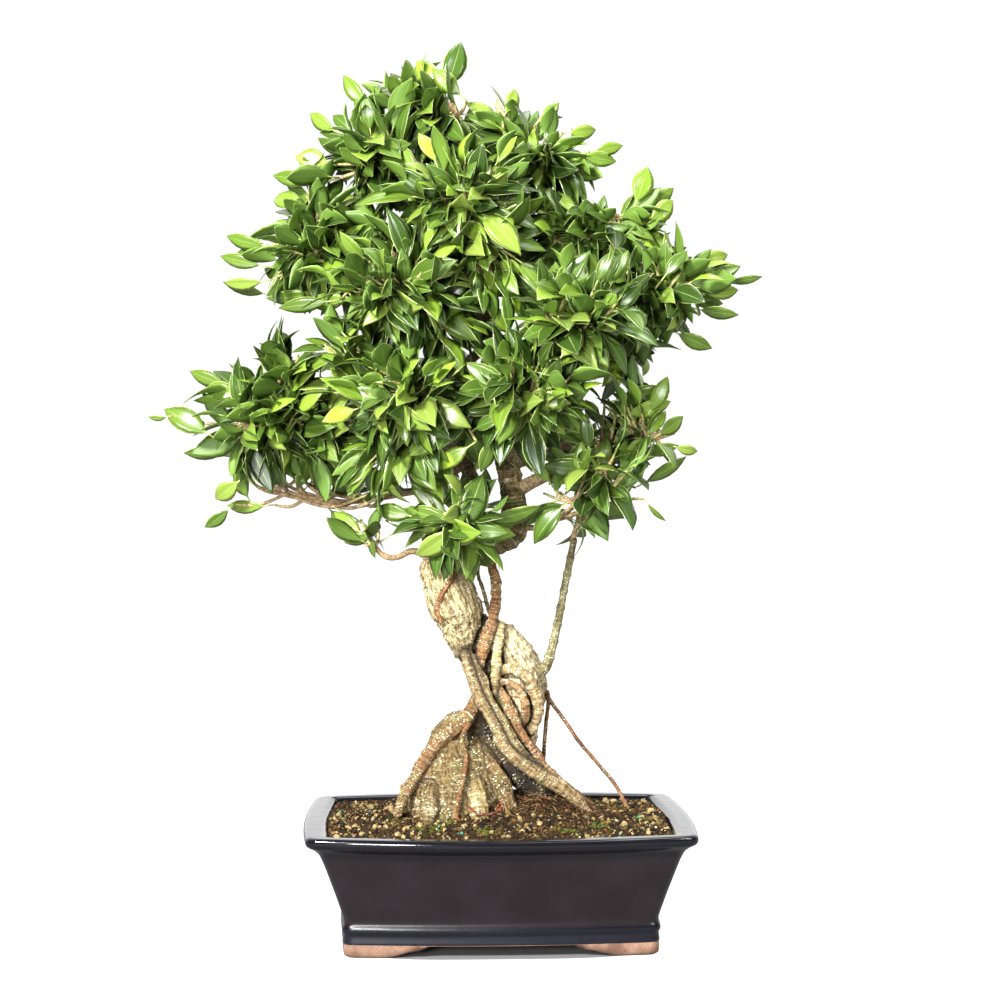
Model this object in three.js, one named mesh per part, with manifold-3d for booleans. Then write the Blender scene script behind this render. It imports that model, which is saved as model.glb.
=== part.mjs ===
// A fig grown as a bonsai in a bowed rectangular pot: swollen, twisted aerial roots carry a broad
// crown of leafy branches. Millimetres, +Z up, the pot's long side faces -Y, and the part's origin
// is the middle of its footprint at the bottom of the pot's feet.

import * as THREE from 'three';
import { mergeVertices } from 'three/addons/utils/BufferGeometryUtils.js';
import Module from 'manifold-3d';

const wasm = await Module();
wasm.setup();

// ---- Driving dimensions -------------------------------------------------------------------

const GAP = 0.3; // between pieces that touch
const TIDY = 0.12; // edges shorter than this are closed up after a join or a cut

// Pot. Half width is at the corners; the sides bow out from there to their middles.
const RIM_HEIGHT = 118;
const RIM_HALF_WIDTH = 188;
const RIM_HALF_DEPTH = 126;
const RIM_BOW = { side: 7, front: 22 };
const BASE_HALF_WIDTH = 154;
const BASE_BOW = { side: 4, front: 9 };
const BASE_EXTRA_DEPTH = 15; // how much the depth falls less than the width from rim to base
const CORNER_RADIUS = 9;
const CORNER_STEPS = 2;
const FOOT_HEIGHT = 14;
const FOOT_WALL = 15;
const RECESS_DEPTH = 13;
const FLOOR_TOP = 25;
const BRACKET = { frontHalf: 104, frontTop: 68, sideHalf: 43, sideTop: 16, height: 12.6 };
const DRAIN = { x: 75, radius: 13, sides: 16 };

// Soil
const SOIL_EDGE = 111; // height where it meets the pot
const MOUND = { height: 27, width: 96, depth: 82, x: 2, y: 0 };
const SOIL_RINGS = [0.9, 0.66, 0.4, 0.18];
const SOIL_GAP = 0.5; // between the soil and the pot's wall

// Plastic drainage screens
const SCREEN = { size: 42, thickness: 1.8, holes: 2, hole: 13, pitch: 18 };

// Tree. Its points are seen from the front against the upright plane through the pot's middle.
const EYE_DISTANCE = 2100;
const EYE_HEIGHT = 487;
const TREE_TURN = THREE.MathUtils.degToRad(-2.5);
const SOIL_SOCKET = 0.5; // clearance of the soil round each root
const LIMB_SOCKET = 0.45; // clearance of a branch where it leaves the trunk

// Leaves
const LEAF = { length: 46, width: 24, thickness: 1.6, fold: 0.1, droop: 0.14 };
const LEAF_OUTLINE = [{ at: 0.34, half: 0.47 }, { at: 0.72, half: 0.4 }];
const LEAF_MIDDLE = 0.52; // where its rib is thickest, as a share of its length
const LEAF_CLEARANCE = 0.7; // extra thickness of the test blade that keeps leaves apart
const TWIG = { base: 2.4, tip: 1.3, sides: 3, bend: 0.55, sag: 6 };
const TWIG_ROOTS = [0.62, 0.98]; // the stretch of a limb that twigs spring from, as shares of it
const PAD_LIFT = 0.35; // how far a pad's twigs turn up from the line of their limb
const PAD_COVER = 1.4; // how far round the pad they reach: 1 to half way, 2 all round
const TIP_INSET = [0.8, 0.8, 0.64]; // of a leaf, from the pad's surface to the end of a twig
const NODE_SPACING = 12; // between leaves along a twig
const LEAVES_PER_TWIG = 4;
const LEAFY_SHARE = 0.85; // of a short twig, at most
const LEAF_ANGLE = { end: 0.2, least: 0.75, most: 1.05 }; // radians away from the twig
const LEAF_SIZES = [0.82, 1.18];
const LOOK_UP = 0.9; // how far the leaves turn their faces to the sky
const GOLDEN_ANGLE = Math.PI * (3 - Math.sqrt(5));

// ---- Small tools --------------------------------------------------------------------------

// A fixed, seeded draw between 0 and 1 for item i, draw k.
const draw = (i, k) => {
  const wave = Math.sin(i * 12.9898 + k * 78.233) * 43758.5453;
  return wave - Math.floor(wave);
};

const between = ([low, high], share) => low + (high - low) * share;

// Moves a point from where it is seen on the middle plane to y behind it, along the line of sight.
const place = (x, y, z) => {
  const spread = 1 + y / EYE_DISTANCE;
  const point = new THREE.Vector3(x * spread, y, EYE_HEIGHT + (z - EYE_HEIGHT) * spread);
  return point.applyAxisAngle(new THREE.Vector3(0, 0, 1), TREE_TURN);
};

const solidFrom = (vertices, triangles) => new wasm.Manifold(new wasm.Mesh({
  numProp: 3,
  vertProperties: Float32Array.from(vertices.flatMap((v) => [v.x, v.y, v.z])),
  triVerts: Uint32Array.from(triangles.flat()),
}));

const solidOf = (geometry) => {
  geometry.deleteAttribute('normal');
  geometry.deleteAttribute('uv');
  const merged = mergeVertices(geometry, 1e-3);
  return new wasm.Manifold(new wasm.Mesh({
    numProp: 3,
    vertProperties: Float32Array.from(merged.attributes.position.array),
    triVerts: Uint32Array.from(merged.index.array),
  }));
};

// The largest body of a solid, with loose scraps dropped and sealed hollows filled.
const mainBody = (solid) => solid.simplify(TIDY).decompose()
  .reduce((best, next) => (next.volume() > best.volume() ? next : best));

const fuse = (solids) => wasm.Manifold.union(solids);

const isClear = (solid, others) => others.every((other) => solid.intersect(other).isEmpty());

const finish = ({ color, roughness, metalness = 0 }) =>
  new THREE.MeshStandardMaterial({ color, roughness, metalness });

const GLAZE = finish({ color: '#2a2833', roughness: 0.2 });
const EARTH = finish({ color: '#6b5a3c', roughness: 0.95 });
const BARK = finish({ color: '#b9a47c', roughness: 0.85 });
const FOLIAGE = finish({ color: '#4f7f2a', roughness: 0.4 });
const MESH_PLASTIC = finish({ color: '#1f1f1f', roughness: 0.6 });

const group = new THREE.Group();

const addPiece = (name, solid, material) => {
  const { vertProperties, triVerts } = solid.getMesh();
  const geometry = new THREE.BufferGeometry();
  geometry.setAttribute('position', new THREE.BufferAttribute(vertProperties, 3));
  geometry.setIndex(new THREE.BufferAttribute(triVerts, 1));
  geometry.computeVertexNormals();
  const mesh = new THREE.Mesh(geometry, material);
  mesh.name = name;
  group.add(mesh);
};

// A closed skin over rings of points, with a point to close each end. A quad between rings is
// split along one diagonal, or along the other where `otherWay` is set.
const skin = (rings, ends, otherWay = false) => {
  const count = rings[0].length;
  const first = rings.length * count;
  const lastRing = first - count;
  const triangles = [];
  for (let j = 0; j < count; j += 1) {
    const next = (j + 1) % count;
    for (let i = 0; i < rings.length - 1; i += 1) {
      const [a, b] = [i * count + j, i * count + next];
      const [c, d] = [b + count, a + count];
      if (otherWay) triangles.push([a, b, d], [b, c, d]);
      else triangles.push([a, b, c], [a, c, d]);
    }
    triangles.push([first, next, j], [first + 1, lastRing + j, lastRing + next]);
  }
  return solidFrom([...rings.flat(), ...ends], triangles);
};

// A closed tube through [x, y, z, radius] points, with blunt domed ends.
const limb = (points, sides, grow = 0) => {
  const knots = points.map(([x, y, z]) => place(x, y, z));
  const curve = new THREE.CatmullRomCurve3(knots, false, 'centripetal');
  const last = points.length - 1;
  const tangents = knots.map((_, i) => curve.getTangent(i / last));
  let across = new THREE.Vector3(0.31, -0.95, 0.05);
  const rings = points.map(([, , , radius], i) => {
    across = across.clone().addScaledVector(tangents[i], -across.dot(tangents[i])).normalize();
    const other = new THREE.Vector3().crossVectors(tangents[i], across);
    return Array.from({ length: sides }, (_, j) => {
      const turn = (2 * Math.PI * j) / sides;
      return knots[i].clone()
        .addScaledVector(across, Math.cos(turn) * (radius + grow))
        .addScaledVector(other, Math.sin(turn) * (radius + grow));
    });
  });
  const dome = (i) => points[i][3] * 0.5 + grow;
  return skin(rings, [
    knots[0].clone().addScaledVector(tangents[0], -dome(0)),
    knots[last].clone().addScaledVector(tangents[last], dome(last)),
  ]);
};

// ---- Pot ----------------------------------------------------------------------------------

// Outline of the pot in plan at one level: a rectangle with round corners and bowed sides.
// `half` is the half width at the corners, and sets the depth and the bow of that level.
const outline = (half) => {
  const lean = (half - BASE_HALF_WIDTH) / (RIM_HALF_WIDTH - BASE_HALF_WIDTH);
  const bowSide = THREE.MathUtils.lerp(BASE_BOW.side, RIM_BOW.side, lean);
  const bowFront = THREE.MathUtils.lerp(BASE_BOW.front, RIM_BOW.front, lean);
  const less = RIM_HALF_WIDTH - RIM_HALF_DEPTH - (1 - lean) * BASE_EXTRA_DEPTH;
  const [a, b] = [half, half - less];
  const quarter = [[a, 0], [a, b * 0.45]];
  for (let i = 0; i <= CORNER_STEPS; i += 1) {
    const turn = (Math.PI / 2) * (i / CORNER_STEPS);
    quarter.push([
      a - CORNER_RADIUS + CORNER_RADIUS * Math.cos(turn),
      b - CORNER_RADIUS + CORNER_RADIUS * Math.sin(turn),
    ]);
  }
  quarter.push([a * 0.45, b]);
  const mirrored = [[0, b], ...quarter.slice(1).reverse().map(([x, y]) => [-x, y])];
  const upper = [...quarter, ...mirrored];
  const lower = upper.map(([x, y]) => [-x, -y]);
  return [...upper, ...lower].map(([x, y]) => [
    x + Math.sign(x) * bowSide * (Math.abs(x) / a) ** 2 * (1 - (y / b) ** 2),
    y + Math.sign(y) * bowFront * (Math.abs(y) / b) ** 2 * (1 - (x / a) ** 2),
  ]);
};

const level = (half, z) => outline(half).map(([x, y]) => new THREE.Vector3(x, y, z));

// Closed solid through level outlines, each [half width, height].
const loft = (profile) => skin(
  profile.map(([half, z]) => level(half, z)),
  [new THREE.Vector3(0, 0, profile[0][1]), new THREE.Vector3(0, 0, profile.at(-1)[1])],
);

const OUTER_PROFILE = [
  [BASE_HALF_WIDTH - 4.5, 0], [BASE_HALF_WIDTH, 3], [BASE_HALF_WIDTH, FOOT_HEIGHT],
  [BASE_HALF_WIDTH - 0.4, 20.5], [BASE_HALF_WIDTH + 1.2, 23], [BASE_HALF_WIDTH + 1.2, 27],
  [BASE_HALF_WIDTH - 1, 31], [158.1, 49], [170.4, 84], [173.9, 94], [176.9, 100.5], [183.9, 104.5],
  [RIM_HALF_WIDTH, 108.5], [RIM_HALF_WIDTH, 113], [RIM_HALF_WIDTH - 1, 116.5],
  [RIM_HALF_WIDTH - 5.5, RIM_HEIGHT], [RIM_HALF_WIDTH - 17.5, RIM_HEIGHT],
  [RIM_HALF_WIDTH - 22, 116],
];
const INNER_PROFILE = [
  [RIM_HALF_WIDTH - 24.5, SOIL_EDGE], [159.9, 98], [147, 50], [139.9, 31], [136, FLOOR_TOP],
];

// Prism with the ogee outline of one bracket opening, along Y, that the foot is cut with.
const bracketCut = (half, top, length) => {
  const { height } = BRACKET;
  const middle = (half + top) / 2;
  const shape = new THREE.Shape();
  shape.moveTo(half, -1).lineTo(half, 0);
  shape.quadraticCurveTo(half - 4, height * 0.42, middle, height * 0.5);
  shape.quadraticCurveTo(top + 8, height * 0.6, top, height);
  shape.lineTo(-top, height);
  shape.quadraticCurveTo(-top - 8, height * 0.6, -middle, height * 0.5);
  shape.quadraticCurveTo(4 - half, height * 0.42, -half, 0);
  shape.lineTo(-half, -1);
  const geometry = new THREE.ExtrudeGeometry(shape, {
    depth: length, bevelEnabled: false, curveSegments: 2,
  });
  return geometry.translate(0, 0, -length / 2).rotateX(Math.PI / 2);
};

const makePot = () => {
  const recessHalf = BASE_HALF_WIDTH - FOOT_WALL;
  const recess = loft([[recessHalf, -1], [recessHalf - 3, RECESS_DEPTH]]);
  const frontCut = solidOf(bracketCut(BRACKET.frontHalf, BRACKET.frontTop, 4 * RIM_HALF_DEPTH));
  const sideCut = solidOf(
    bracketCut(BRACKET.sideHalf, BRACKET.sideTop, 4 * RIM_HALF_WIDTH).rotateZ(Math.PI / 2),
  );
  const drains = [-DRAIN.x, DRAIN.x].map((x) => solidOf(
    new THREE.CylinderGeometry(DRAIN.radius, DRAIN.radius, 2 * FLOOR_TOP, DRAIN.sides)
      .rotateX(Math.PI / 2).translate(x, 0, FLOOR_TOP),
  ));
  return mainBody(loft([...OUTER_PROFILE, ...INNER_PROFILE])
    .subtract(fuse([recess, frontCut, sideCut, ...drains])));
};

addPiece('pot', makePot(), GLAZE);

// ---- Drainage screens ---------------------------------------------------------------------

const makeScreen = (x) => {
  const box = (size, height) => new THREE.BoxGeometry(size, size, height);
  const rise = FLOOR_TOP + GAP + SCREEN.thickness / 2;
  const plate = solidOf(box(SCREEN.size, SCREEN.thickness).translate(x, 0, rise));
  const holes = Array.from({ length: SCREEN.holes ** 2 }, (_, i) => {
    const across = ((i % SCREEN.holes) - (SCREEN.holes - 1) / 2) * SCREEN.pitch;
    const along = (Math.floor(i / SCREEN.holes) - (SCREEN.holes - 1) / 2) * SCREEN.pitch;
    return solidOf(box(SCREEN.hole, 3 * SCREEN.thickness).translate(x + across, along, rise));
  });
  return plate.subtract(fuse(holes));
};

addPiece('drain_screen_left', makeScreen(-DRAIN.x), MESH_PLASTIC);
addPiece('drain_screen_right', makeScreen(DRAIN.x), MESH_PLASTIC);

// ---- Trunk and roots ----------------------------------------------------------------------
// Each line is [x, y, z, radius] along one root or stem, as it is seen from the front.

const THICK_ROOTS = {
  leftRoot: [
    [-20, -14, 238, 8], [-31, -24, 220, 8.5], [-45, -32, 206, 8.5], [-61, -37, 191, 8.5],
    [-74, -40, 173, 8.5], [-86, -42, 154, 8], [-96, -44, 138, 7.5], [-104, -45, 116, 5],
  ],
  leftToe: [[-60, -40, 176, 8], [-65, -54, 158, 9], [-69, -63, 140, 8.5], [-72, -68, 116, 6]],
  middleToe: [
    [-36, -40, 178, 9], [-29, -54, 158, 10.5], [-24, -63, 142, 11], [-21, -68, 124, 9],
    [-19, -70, 106, 6],
  ],
  rightToe: [[-22, -28, 188, 9], [-10, -39, 168, 10], [1, -46, 150, 8.5], [9, -50, 130, 6]],
  longRoot: [
    [-41, -14, 298, 9.5], [-34, -20, 278, 8], [-27, -26, 253, 7.2], [-17.5, -31, 231, 7.2],
    [-5, -36, 209, 7.5], [7, -39, 186, 8.5], [24, -40, 170, 9], [43, -37, 157, 9],
    [65, -33, 143, 8], [83, -29, 126, 6], [93, -26, 112, 4],
  ],
  oliveRoot: [
    [-36, -16, 290, 4.8], [-30, -20, 280, 5], [-17.5, -28, 256, 5], [-8, -34, 234, 5],
    [6, -40, 209, 5.2], [17, -42, 187, 5.5], [31, -39, 172, 5.5], [48, -34, 158, 5],
  ],
  brownRoot: [
    [-3, -20, 246, 6.5], [6, -25, 231, 8], [18, -28, 212, 8], [29, -28, 193, 7.7],
    [43, -25, 173, 7.5], [61, -20, 154, 7], [77, -17, 142, 6.5], [94, -13, 128, 5],
    [106, -9, 113, 3.4],
  ],
  leftBulb: [
    [-58, 2, 378, 22], [-53, 0, 366, 26], [-51, -4, 349, 25.5], [-47, -8, 334, 25.5],
    [-42, -10, 322, 27], [-40.5, -11, 311, 23.5], [-39, -12, 299, 15], [-37.5, -14, 288, 10.5],
  ],
  rightBulb: [
    [4, -6, 306, 8], [8, -4, 297, 12], [13, -2, 287, 16], [18, 0, 275, 20], [20, 3, 263, 24],
    [21, 5, 246, 25.5], [21, 5, 231, 24.5], [22, 4, 217, 21], [25, 0, 204, 15], [30, -8, 188, 8],
  ],
  stem: [
    [-55, 2, 374, 23], [-40, -2, 384, 18], [-20, -6, 387, 14], [2, -8, 393, 13.5],
    [15, -8, 407, 15], [14, -8, 424, 14], [12, -8, 444, 12.5], [8, -6, 468, 12.5], [5, -4, 490, 12],
    [0, 0, 514, 11], [-5, 2, 554, 10], [-10, 4, 604, 9], [-15, 6, 664, 8], [-20, 6, 724, 6],
    [-24, 5, 774, 5],
  ],
  backStem: [
    [-50, 14, 372, 12], [-40, 20, 390, 10], [-30, 26, 412, 10], [-26, 28, 436, 10],
    [-32, 30, 464, 9], [-42, 33, 486, 7],
  ],
  coreRoot: [
    [-12, 4, 312, 8], [-14, 2, 296, 10], [-10, 2, 276, 13], [-6, 0, 254, 14], [0, -4, 232, 13],
    [6, -8, 210, 12], [10, -14, 190, 9],
  ],
};

const THIN_ROOTS = {
  hangingRoot: [
    [-13, -14, 386, 7], [-9, -18, 374, 6.5], [-5, -20, 352, 6], [-4, -20, 333, 6],
    [-8, -20, 311, 7], [-15, -21, 291, 7.5], [-19, -22, 272, 5.5], [-20, -24, 256, 3.4],
  ],
  backRoot: [[-26, 4, 378, 5], [-21, 4, 356, 4], [-14, -4, 334, 3.5], [-8, -12, 314, 3.5]],
  eyeLoop: [
    [0, -20, 263, 5], [12, -25, 265, 5.5], [22, -25, 260, 6.2], [31, -23, 250, 6.5],
    [37, -19, 234, 7], [37, -16, 216, 7], [29, -13, 202, 6],
  ],
  ribbedRoot: [
    [2, -16, 312, 5.5], [-1, -20, 298, 6], [-2.5, -21, 283, 6], [-4, -22, 258, 6],
    [-4, -23, 242, 5.5], [0, -24, 226, 5],
  ],
  sucker: [
    [36, 2, 262, 9], [45, 2, 266, 6], [50, 2, 278, 4.6], [55.5, 2, 300, 4], [61, 4, 327, 3.8],
    [65, 4, 349, 3.6], [69, 4, 368, 3.6], [72, 4, 384, 3.4], [74, 4, 396, 3],
  ],
  bulbRoot: [
    [-33, -20, 376, 2.6], [-37, -25, 371, 2.8], [-48, -29, 355, 3], [-59, -31, 338, 3],
    [-63, -29, 324, 2.8], [-59, -27, 312, 2.4],
  ],
  toeRoot: [
    [-31, -36, 210, 2.4], [-38, -43, 195, 2.2], [-34, -46, 176, 2.2], [-36, -60, 157, 2.2],
    [-41, -68, 137, 2.2], [-44, -69, 114, 2],
  ],
  straightRoot: [
    [47, 4, 242, 2.6], [48.5, 9, 234, 2.2], [46, 14, 209, 2], [44, 20, 181, 2], [43, 24, 150, 2],
    [42, 26, 120, 2],
  ],
  slantRoot: [
    [45, 6, 242, 2.8], [50, 9, 233, 2.2], [62, 14, 217, 2], [79, 24, 192, 2], [95, 34, 173, 2],
    [117, 48, 146, 2], [130, 56, 120, 2],
  ],
};

const ROOT_DOME = { x: -46, y: -15, z: 130, width: 46, depth: 46, height: 78, lean: 0 };

const makeTrunk = (grow = 0) => {
  const { x, y, z, width, depth, height, lean } = ROOT_DOME;
  const dome = solidOf(new THREE.SphereGeometry(1, 12, 8)
    .rotateX(Math.PI / 2)
    .scale(width + grow, depth + grow, height + grow)
    .rotateY(lean)
    .translate(...place(x, y, z)));
  return mainBody(fuse([
    dome,
    ...Object.values(THICK_ROOTS).map((points) => limb(points, 7, grow)),
    ...Object.values(THIN_ROOTS).map((points) => limb(points, 5, grow)),
  ]));
};

const trunk = makeTrunk();
addPiece('trunk', trunk, BARK);

// ---- Soil ---------------------------------------------------------------------------------

const soilHeight = (x, y) => SOIL_EDGE + MOUND.height
  * Math.exp(-(((x - MOUND.x) / MOUND.width) ** 2) - ((y - MOUND.y) / MOUND.depth) ** 2);

const makeSoil = () => {
  const screenTop = FLOOR_TOP + 2 * GAP + SCREEN.thickness;
  const [[floorHalf, floor], ...walls] = INNER_PROFILE.toReversed();
  const share = (screenTop - floor) / (walls[0][1] - floor);
  const profile = [[THREE.MathUtils.lerp(floorHalf, walls[0][0], share), screenTop], ...walls];
  const sides = profile.map(([half, z]) => level(half - SOIL_GAP, z));
  const top = SOIL_RINGS.map((inner) => sides.at(-1).map(({ x, y }) => (
    new THREE.Vector3(x * inner, y * inner, soilHeight(x * inner, y * inner))
  )));
  const ends = [new THREE.Vector3(0, 0, screenTop), new THREE.Vector3(0, 0, soilHeight(0, 0))];
  return mainBody(skin([...sides, ...top], ends, true).subtract(makeTrunk(SOIL_SOCKET)));
};

addPiece('soil', makeSoil(), EARTH);

// ---- Leafy branches -----------------------------------------------------------------------
// Each branch is a limb, [x, y, z, radius], and one pad of foliage: its middle and its reach
// across, in depth and in height to the leaf tips. `twigs` is how many it carries here.

const BRANCHES = {
  apex: {
    limb: [[-24, 5, 766, 4.5], [-32, 2, 790, 4], [-42, -2, 814, 3], [-48, -4, 832, 2.2]],
    pad: { at: [-46, -5, 836], reach: [72, 70, 56] }, twigs: 4,
  },
  top_left: {
    limb: [[-20, 6, 724, 5], [-56, -10, 752, 4], [-96, -20, 776, 3.2], [-126, -26, 790, 2.4]],
    pad: { at: [-134, -24, 790], reach: [76, 74, 68] }, twigs: 4,
  },
  top_right: {
    limb: [[-21, 6, 738, 5], [0, 3, 756, 4], [28, -2, 774, 3.2], [50, -6, 786, 2.4]],
    pad: { at: [48, -5, 782], reach: [84, 76, 58] }, twigs: 3,
  },
  top_front: {
    limb: [[-18, 4, 702, 5], [-24, -32, 716, 4], [-30, -66, 730, 3], [-36, -92, 742, 2.4]],
    pad: { at: [-36, -98, 744], reach: [88, 66, 66] }, twigs: 3,
  },
  top_back: {
    limb: [[-17, 8, 690, 5], [-24, 44, 716, 4], [-34, 84, 738, 3], [-40, 112, 752, 2.4]],
    pad: { at: [-38, 112, 750], reach: [98, 70, 64] }, twigs: 3,
  },
  left_upper: {
    limb: [[-14, 5, 652, 6], [-60, 0, 668, 5], [-110, -12, 682, 4], [-160, -20, 690, 3],
      [-200, -22, 692, 2.2]],
    pad: { at: [-192, -20, 692], reach: [92, 78, 60] }, twigs: 4,
  },
  left_upper_front: {
    limb: [[-12, 4, 622, 6], [-44, -32, 636, 4.6], [-80, -74, 648, 3.6], [-112, -104, 656, 2.4]],
    pad: { at: [-112, -106, 652], reach: [90, 66, 58] }, twigs: 3,
  },
  left_upper_back: {
    limb: [[-12, 6, 612, 6], [-52, 42, 632, 4.6], [-96, 84, 650, 3.6], [-132, 112, 664, 2.4]],
    pad: { at: [-132, 114, 662], reach: [92, 72, 60] }, twigs: 3,
  },
  right_upper: {
    limb: [[-13, 5, 640, 6], [20, -1, 666, 5], [62, -8, 692, 4], [98, -12, 710, 3],
      [118, -12, 718, 2.2]],
    pad: { at: [116, -12, 716], reach: [84, 76, 60] }, twigs: 3,
  },
  right: {
    limb: [[-3, 1, 540, 6], [24, -5, 552, 5.4], [53, -10, 566, 5], [87, -16, 599, 4.5],
      [114, -22, 632, 4], [150, -24, 646, 3], [192, -24, 650, 2.2]],
    pad: { at: [178, -22, 646], reach: [96, 80, 62] }, twigs: 4,
  },
  right_front: {
    limb: [[0, 0, 522, 6], [28, -34, 556, 4.8], [54, -70, 592, 3.8], [80, -104, 622, 2.4]],
    pad: { at: [78, -108, 630], reach: [90, 64, 64] }, twigs: 3,
  },
  right_back: {
    limb: [[-7, 4, 574, 6], [28, 38, 604, 4.8], [68, 78, 632, 3.8], [104, 110, 650, 2.4]],
    pad: { at: [106, 112, 650], reach: [100, 74, 64] }, twigs: 3,
  },
  left_low: {
    limb: [[-44, 33, 486, 6], [-76, 22, 500, 5], [-120, 6, 510, 4.2], [-170, -10, 514, 3.6],
      [-220, -22, 512, 3], [-270, -28, 506, 2.2]],
    pad: { at: [-254, -26, 530], reach: [102, 82, 58] }, twigs: 4,
  },
  left_low_under: {
    limb: [[-36, 31, 470, 5], [-70, 34, 448, 4], [-112, 36, 438, 3.4], [-156, 36, 432, 3],
      [-200, 36, 436, 2.6], [-240, 34, 446, 2]],
    pad: { at: [-222, 34, 458], reach: [100, 84, 58] }, twigs: 3,
  },
  left_front: {
    limb: [[-8, 3, 592, 6], [-36, -34, 570, 4.8], [-66, -74, 552, 3.8], [-98, -106, 540, 2.4]],
    pad: { at: [-100, -108, 540], reach: [96, 66, 66] }, twigs: 4,
  },
  middle_front: {
    limb: [[3, -2, 500, 6], [10, -36, 518, 4.8], [20, -72, 536, 3.8], [30, -106, 550, 2.4]],
    pad: { at: [28, -112, 550], reach: [86, 64, 66] }, twigs: 3,
  },
  low_back: {
    limb: [[-4, 3, 556, 6], [-24, 44, 540, 4.8], [-48, 88, 528, 3.8], [-70, 122, 524, 2.4]],
    pad: { at: [-72, 126, 528], reach: [120, 72, 64] }, twigs: 3,
  },
  right_low: {
    limb: [[12, -8, 440, 8], [28, -8, 450, 7], [60, -9, 464, 5.6], [95, -11, 474, 5],
      [133, -14, 489, 4], [171, -18, 501, 3.2], [194, -20, 507, 2.4]],
    pad: { at: [146, -20, 524], reach: [82, 72, 60] }, twigs: 4,
  },
  right_low_front: {
    limb: [[15, -10, 410, 4], [34, -16, 406, 3], [55, -22, 414, 2.8], [78, -34, 432, 2.6],
      [100, -50, 456, 2.2], [112, -60, 474, 2]],
    pad: { at: [100, -66, 466], reach: [76, 62, 52] }, twigs: 3,
  },
  right_low_back: {
    limb: [[8, -5, 468, 6], [34, 30, 476, 5], [64, 64, 488, 4], [96, 96, 500, 2.4]],
    pad: { at: [96, 98, 506], reach: [92, 70, 56] }, twigs: 3,
  },
  front_low: {
    limb: [[-28, 26, 424, 4], [-42, 4, 426, 3.6], [-46, -24, 420, 3], [-46, -52, 416, 2.6],
      [-44, -78, 418, 2.2]],
    pad: { at: [-42, -82, 428], reach: [76, 52, 50] }, twigs: 3,
  },
  left_sprig: {
    limb: [[-70, -6, 376, 4.4], [-88, -14, 383, 3.2], [-102, -20, 377, 3], [-115, -26, 377, 2.6],
      [-127, -30, 389, 2.4], [-138, -34, 402, 2]],
    pad: { at: [-136, -36, 404], reach: [58, 44, 34] }, twigs: 2,
  },
  sucker_tip: {
    limb: [[72, 4, 392, 3], [76, 4, 406, 2.6], [80, 5, 420, 2.2]],
    pad: { at: [82, 6, 424], reach: [52, 46, 36] }, twigs: 2,
  },
};

// One blade: a thin arched lens from its stalk to its tip, cupped a little along its rib.
const blade = (base, along, up, length, width, thickness) => {
  const side = new THREE.Vector3().crossVectors(along, up);
  const spot = (at, half, lift) => base.clone()
    .addScaledVector(along, length * at)
    .addScaledVector(side, width * half)
    .addScaledVector(up, width * LEAF.fold * Math.abs(half) - length * LEAF.droop * at ** 2 + lift);
  const [low, high] = LEAF_OUTLINE;
  const vertices = [
    spot(0, 0, 0), spot(low.at, low.half, 0), spot(high.at, high.half, 0), spot(1, 0, 0),
    spot(high.at, -high.half, 0), spot(low.at, -low.half, 0),
    spot(LEAF_MIDDLE, 0, thickness / 2), spot(LEAF_MIDDLE, 0, -thickness / 2),
  ];
  const [rim, upper, lower] = [6, 6, 7];
  const triangles = [];
  for (let i = 0; i < rim; i += 1) {
    const next = (i + 1) % rim;
    triangles.push([i, next, upper], [next, i, lower]);
  }
  return solidFrom(vertices, triangles);
};

// The twigs of one pad: each springs from the outer part of the limb and ends on the pad's
// surface. The first carries on the limb's own line, the others spread round it by the golden angle.
const twigsOf = (branch, seed) => {
  const { limb: spine, pad: { at, reach }, twigs: count } = branch;
  const [before, end] = spine.slice(-2).map(([x, y, z]) => new THREE.Vector3(x, y, z));
  const outwards = end.clone().sub(before).normalize().add(new THREE.Vector3(0, 0, PAD_LIFT)).normalize();
  const aside = new THREE.Vector3(outwards.y, -outwards.x, 0.01).normalize();
  const third = new THREE.Vector3().crossVectors(outwards, aside);
  return Array.from({ length: count }, (_, k) => {
    const rise = 1 - (PAD_COVER * k) / (count - 1);
    const turn = GOLDEN_ANGLE * k + 2 * Math.PI * draw(seed, 1);
    const flat = Math.sqrt(1 - rise ** 2);
    const aim = outwards.clone().multiplyScalar(rise)
      .addScaledVector(aside, flat * Math.cos(turn))
      .addScaledVector(third, flat * Math.sin(turn)).normalize().toArray();
    const tip = at.map((c, i) => c + (reach[i] - LEAF.length * TIP_INSET[i]) * aim[i]);
    const along = between(TWIG_ROOTS, draw(seed, 20 + k)) * (spine.length - 1);
    const i = Math.min(spine.length - 2, Math.floor(along));
    const root = tip.map((_c, c) => THREE.MathUtils.lerp(spine[i][c], spine[i + 1][c], along - i));
    const bend = tip.map((c, n) => THREE.MathUtils.lerp(root[n], c, TWIG.bend));
    bend[2] -= TWIG.sag;
    return [[...root, TWIG.base], [...bend, (TWIG.base + TWIG.tip) / 2], [...tip, TWIG.tip]];
  });
};

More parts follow.
